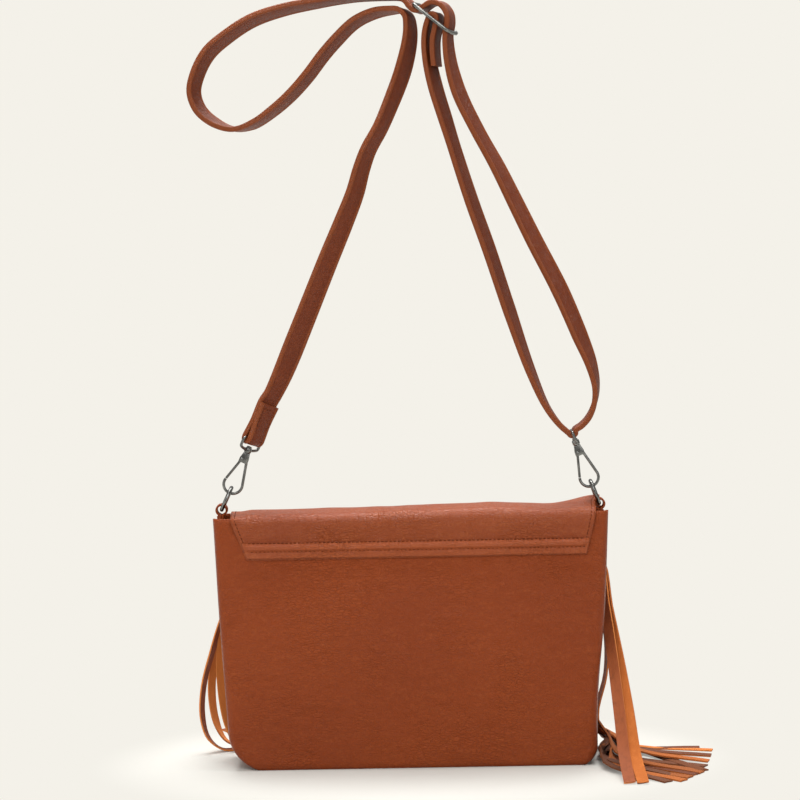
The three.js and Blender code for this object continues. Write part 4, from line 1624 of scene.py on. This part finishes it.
@dataclass
class Strap:
    """The shoulder strap and its slider."""

    left: ClipChain
    right: ClipChain
    finishes: Finishes
    width: float = 15.6
    thick: float = 3.4
    slider_x: float = 23
    slider_z: float = 522
    slider_tilt: float = 38
    twist: float = -20
    pieces: list[Piece] = field(default_factory=list)

    def route(self) -> list[RoutePoint]:
        """Gives the strap's whole route.

        Returns:
            The points with their turns.
        """
        lie, r, bar = 1.6, 2.6, 2.9

        def folded(away: float, rise: float) -> RoutePoint:
            """Gives a point of the fold round the left eye."""
            spot = self.left.frame @ Vector((0, away, EYE_Z + rise))
            return spot.x, spot.y, spot.z, 90

        def turned(across: float, rise: float) -> RoutePoint:
            """Gives a point of the bend under the right eye."""
            spot = self.right.frame @ Vector((across, 0, EYE_Z + rise))
            return spot.x, spot.y, spot.z, 0

        under = ((r, 0), (0.7 * r, -0.7 * r), (0, -r), (-0.7 * r, -0.7 * r), (-r, 0))
        rise = ((0.9 * r, 5), (lie, 13.5), (lie, 27))
        fold = [*((-a, b) for a, b in reversed(rise)), *reversed(under), *rise]
        over = ((-1, 0), (-0.7, 0.7), (0, 1), (0.7, 0.7), (1, 0))
        wrap = [(self.slider_x + x * bar, 0.0, self.slider_z + z * bar, 0.0) for x, z in over]
        start, back = [folded(*p) for p in fold], [turned(*p) for p in under]
        return [*start, *STRAP_RISE, *back, *STRAP_RETURN, *wrap, *STRAP_TAIL]

    def settled(self, station: Station) -> Station:
        """Turns a section as the hanging strap has twisted at the left clip and the slider.

        Args:
            station: The section on the plain route.

        Returns:
            The turned section.
        """
        place = station.place
        low = 1 - smooth(236, 300, place.z)
        if place.x < 0 and low:
            base = self.left.frame
            angle = self.left.eye_turn * low
        else:
            base = Matrix.Translation((self.slider_x, 0, self.slider_z))
            angle = self.twist * smooth(425, 492, place.z) * smooth(-34, 4, place.x)
        whole = base @ spin(angle, "Z") @ base.inverted()
        turn = whole.to_3x3()
        return Station(whole @ place, turn @ station.across, turn @ station.out)

    def section(self) -> list[Pair]:
        """Gives the strap's section, two layers with turned edges.

        Returns:
            The section.
        """
        half, t = self.width / 2, self.thick / 2
        bead = [(half - 2.3, t * 0.84), (half - 1.2, t * 1.12)]
        bead += [(half - 0.35, t * 0.95), (half, t * 0.5)]
        right = [*bead, (half - 0.3, 0), *((a, -b) for a, b in reversed(bead))]
        middle = [(half - 3.2, -t), (0.0, -t * 1.06), (3.2 - half, -t)]
        around = right + middle
        return around + [(-a, -b) for a, b in around]

    def band(self) -> None:
        """Builds the strap's leather."""
        bm = bmesh.new()
        stations = Band(self.route(), TO_CAMERA, 6).stations()
        sweep(bm, [self.settled(station) for station in stations], self.section())
        piece = made(bm, "strap_leather_band", self.finishes.strap)
        self.pieces.append(keep(piece, "shoulder_strap", slot="strap_leather"))

    def sewing(self) -> None:
        """Sews the folded end at the left clip."""
        bm = bmesh.new()
        base = self.left.eye_frame
        rows = [[(x, rise) for x in (-6, -2, 2, 6)] for rise in (10.5, 23.5)]
        rows += [[(x, rise) for rise in (10.5, 14, 18, 23.5)] for x in (-6, 6)]
        for row in rows:
            path = [base @ Vector((x, -3.4, EYE_Z + rise)) for x, rise in row]
            stitches(bm, path, base.to_3x3() @ TO_CAMERA, 2.4, 1.9)
        self.pieces.append(keep(made(bm, "strap_stitches", self.finishes.thread)))

    def slider(self) -> None:
        """Builds the slider's frame and bar."""
        place = Matrix.Translation((self.slider_x, 0, self.slider_z))
        base = place @ spin(self.twist, "Z") @ spin(self.slider_tilt, "Y")
        wide, deep = 16.7, 9.2
        corners = [(-wide, -deep), (wide, -deep), (wide, deep), (-wide, deep)]
        points = [base @ Vector((x, y, 0)) for x, y in rounded(corners, 4.2, True)]
        normal = base.to_3x3() @ Vector((0, 0, 1))

        def squared(share: float, size: float) -> float:
            """Flattens a round section's sides."""
            return size * math.copysign(abs(share) ** 0.6, share)

        section = [(squared(a, 1.2), squared(b, 1.3)) for a, b in circle(1, 16)]
        bm = bmesh.new()
        sweep(bm, planar(points, normal, True), section, closed=True)
        bar = [base @ Vector((0, y, 0)) for y in (-deep, 0, deep)]
        sweep(bm, planar(bar, normal), circle(1.3, 16))
        piece = made(bm, "slider_metal", self.finishes.metal)
        self.pieces.append(keep(piece, "strap_slider", slot="hardware"))

    def build(self) -> None:
        """Builds and dresses the strap and slider."""
        self.band()
        self.sewing()
        self.slider()


def dress(frame: Mapping[str, Any], node: str, material: Material) -> None:
    """Gives a shown CAD node its finish.

    Args:
        frame: The loaded CAD frame.
        node: The node's name.
        material: The finish.
    """
    mesh = frame["nodes"][node].data
    mesh.materials.clear()
    mesh.materials.append(material)


# Studio
@dataclass(frozen=True)
class Lamp:
    """One soft box."""

    name: str
    place: Triple
    size: float
    watts: float


LAMPS = (
    Lamp("key", (-0.3, -1.5, 1.6), 1.3, 18.5),
    Lamp("fill", (1.1, -1.6, 0.9), 1.2, 7),
    Lamp("top", (0.0, 0.36, 1.7), 1.1, 46),
    Lamp("left", (-1.5, -0.6, 0.5), 0.9, 3.5),
)


@dataclass
class Studio:
    """Camera, lights, floor and backdrop."""

    paper: Colour = srgb(244, 241, 233)
    lens: float = 109.3
    pitch: float = 4.0
    roll: float = 1.0
    camera_place: Triple = (-6.0016, -1704.883, 375.657)

    floor_tone: Colour = srgb(206, 205, 199)
    soft_light: Colour = (1.0, 0.98, 0.95, 1)
    soft_strength: float = 0.42

    def camera(self) -> None:
        """Places the camera as the photo was taken."""
        data = bpy.data.cameras.new("camera")
        data.lens = self.lens
        data.sensor_width = 36
        camera = bpy.data.objects.new("camera", data)
        bpy.context.scene.collection.objects.link(camera)
        pitch, roll = math.radians(self.pitch), math.radians(self.roll)
        ahead = Vector((0, math.cos(pitch), -math.sin(pitch)))
        level = Vector((1, 0, 0))
        above = level.cross(ahead)
        right = level * math.cos(roll) - above * math.sin(roll)
        up = level * math.sin(roll) + above * math.cos(roll)
        turn = Matrix((right, up, -ahead)).transposed().to_4x4()
        camera.matrix_world = Matrix.Translation(Vector(self.camera_place) * MM) @ turn
        bpy.context.scene.camera = camera

    def lights(self) -> None:
        """Places the soft boxes."""
        for lamp in LAMPS:
            data = bpy.data.lights.new(lamp.name, "AREA")
            data.size = lamp.size
            data.energy = lamp.watts
            light = bpy.data.objects.new(lamp.name, data)
            bpy.context.scene.collection.objects.link(light)
            aim = Vector((0, 0, 0.2)) - Vector(lamp.place)
            turn = aim.to_track_quat("-Z", "Y").to_matrix().to_4x4()
            light.matrix_world = Matrix.Translation(lamp.place) @ turn

    def world(self) -> None:
        """Sets the paper backdrop for the camera and soft light for the rest."""
        world = bpy.data.worlds.new("studio")
        bpy.context.scene.world = world
        world.use_nodes = True
        tree = world.node_tree
        tree.nodes.clear()
        output = tree.nodes.new("ShaderNodeOutputWorld")
        mix = tree.nodes.new("ShaderNodeMixShader")
        seen = tree.nodes.new("ShaderNodeBackground")
        seen.inputs[0].default_value = self.paper
        soft = tree.nodes.new("ShaderNodeBackground")
        soft.inputs[0].default_value = self.soft_light
        soft.inputs[1].default_value = self.soft_strength
        path = tree.nodes.new("ShaderNodeLightPath")
        tree.links.new(path.outputs["Is Camera Ray"], mix.inputs[0])
        tree.links.new(soft.outputs[0], mix.inputs[1])
        tree.links.new(seen.outputs[0], mix.inputs[2])
        tree.links.new(mix.outputs[0], output.inputs[0])

    def floor(self) -> None:
        """Lays the paper floor, plain except near the bag where it takes the shadow."""
        bm = bmesh.new()
        bmesh.ops.create_grid(bm, x_segments=1, y_segments=1, size=4)
        shader = Shader("paper")
        flat = shader.place((1.0, 1.35, 1.0))
        length = {"operation": "LENGTH"}
        away = shader.node("ShaderNodeVectorMath", length, {0: flat}, out="Value")
        plain = shader.ramp(away, 0.12, 0.235)
        glow = shader.node("ShaderNodeEmission", {}, {"Color": self.paper})
        shader.finish(Base_Color=self.floor_tone, Roughness=0.9, Specular_IOR_Level=0.0)
        camera_ray = shader.node("ShaderNodeLightPath", out="Is Camera Ray")
        lit = Signal(shader, shader.surface.outputs[0])
        mix = shader.node("ShaderNodeMixShader", {}, {0: plain * camera_ray, 1: lit, 2: glow})
        shader.plug(shader.output.inputs[0], mix)
        made(bm, "floor", shader.material)

    def build(self) -> None:
        """Sets up the whole studio."""
        self.camera()
        self.lights()
        self.world()
        self.floor()
        bpy.context.scene.view_settings.view_transform = "Standard"


def main() -> None:
    """Builds the bag and its studio around the CAD frame."""
    logging.basicConfig(level=logging.INFO, format="%(message)s")
    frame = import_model()
    finishes = Finishes.built()
    shape = BagShape()
    body = Body(shape, finishes)
    body.build(frame)
    flap = Flap(shape, finishes)
    flap.build(frame)
    fringe = Fringe(shape, finishes)
    fringe.build()
    left = ClipChain("left", -1, 25, 50, finishes)
    left.build()
    right = ClipChain("right", 1, -20, 90, finishes)
    right.build()
    strap = Strap(left, right, finishes)
    strap.build()
    for group in (body, flap, fringe, left, right, strap):
        for piece in group.pieces:
            LOG.info("%s: %d faces", piece.name, len(piece.data.polygons))
    Studio().build()


if __name__ == "__main__":
    main()
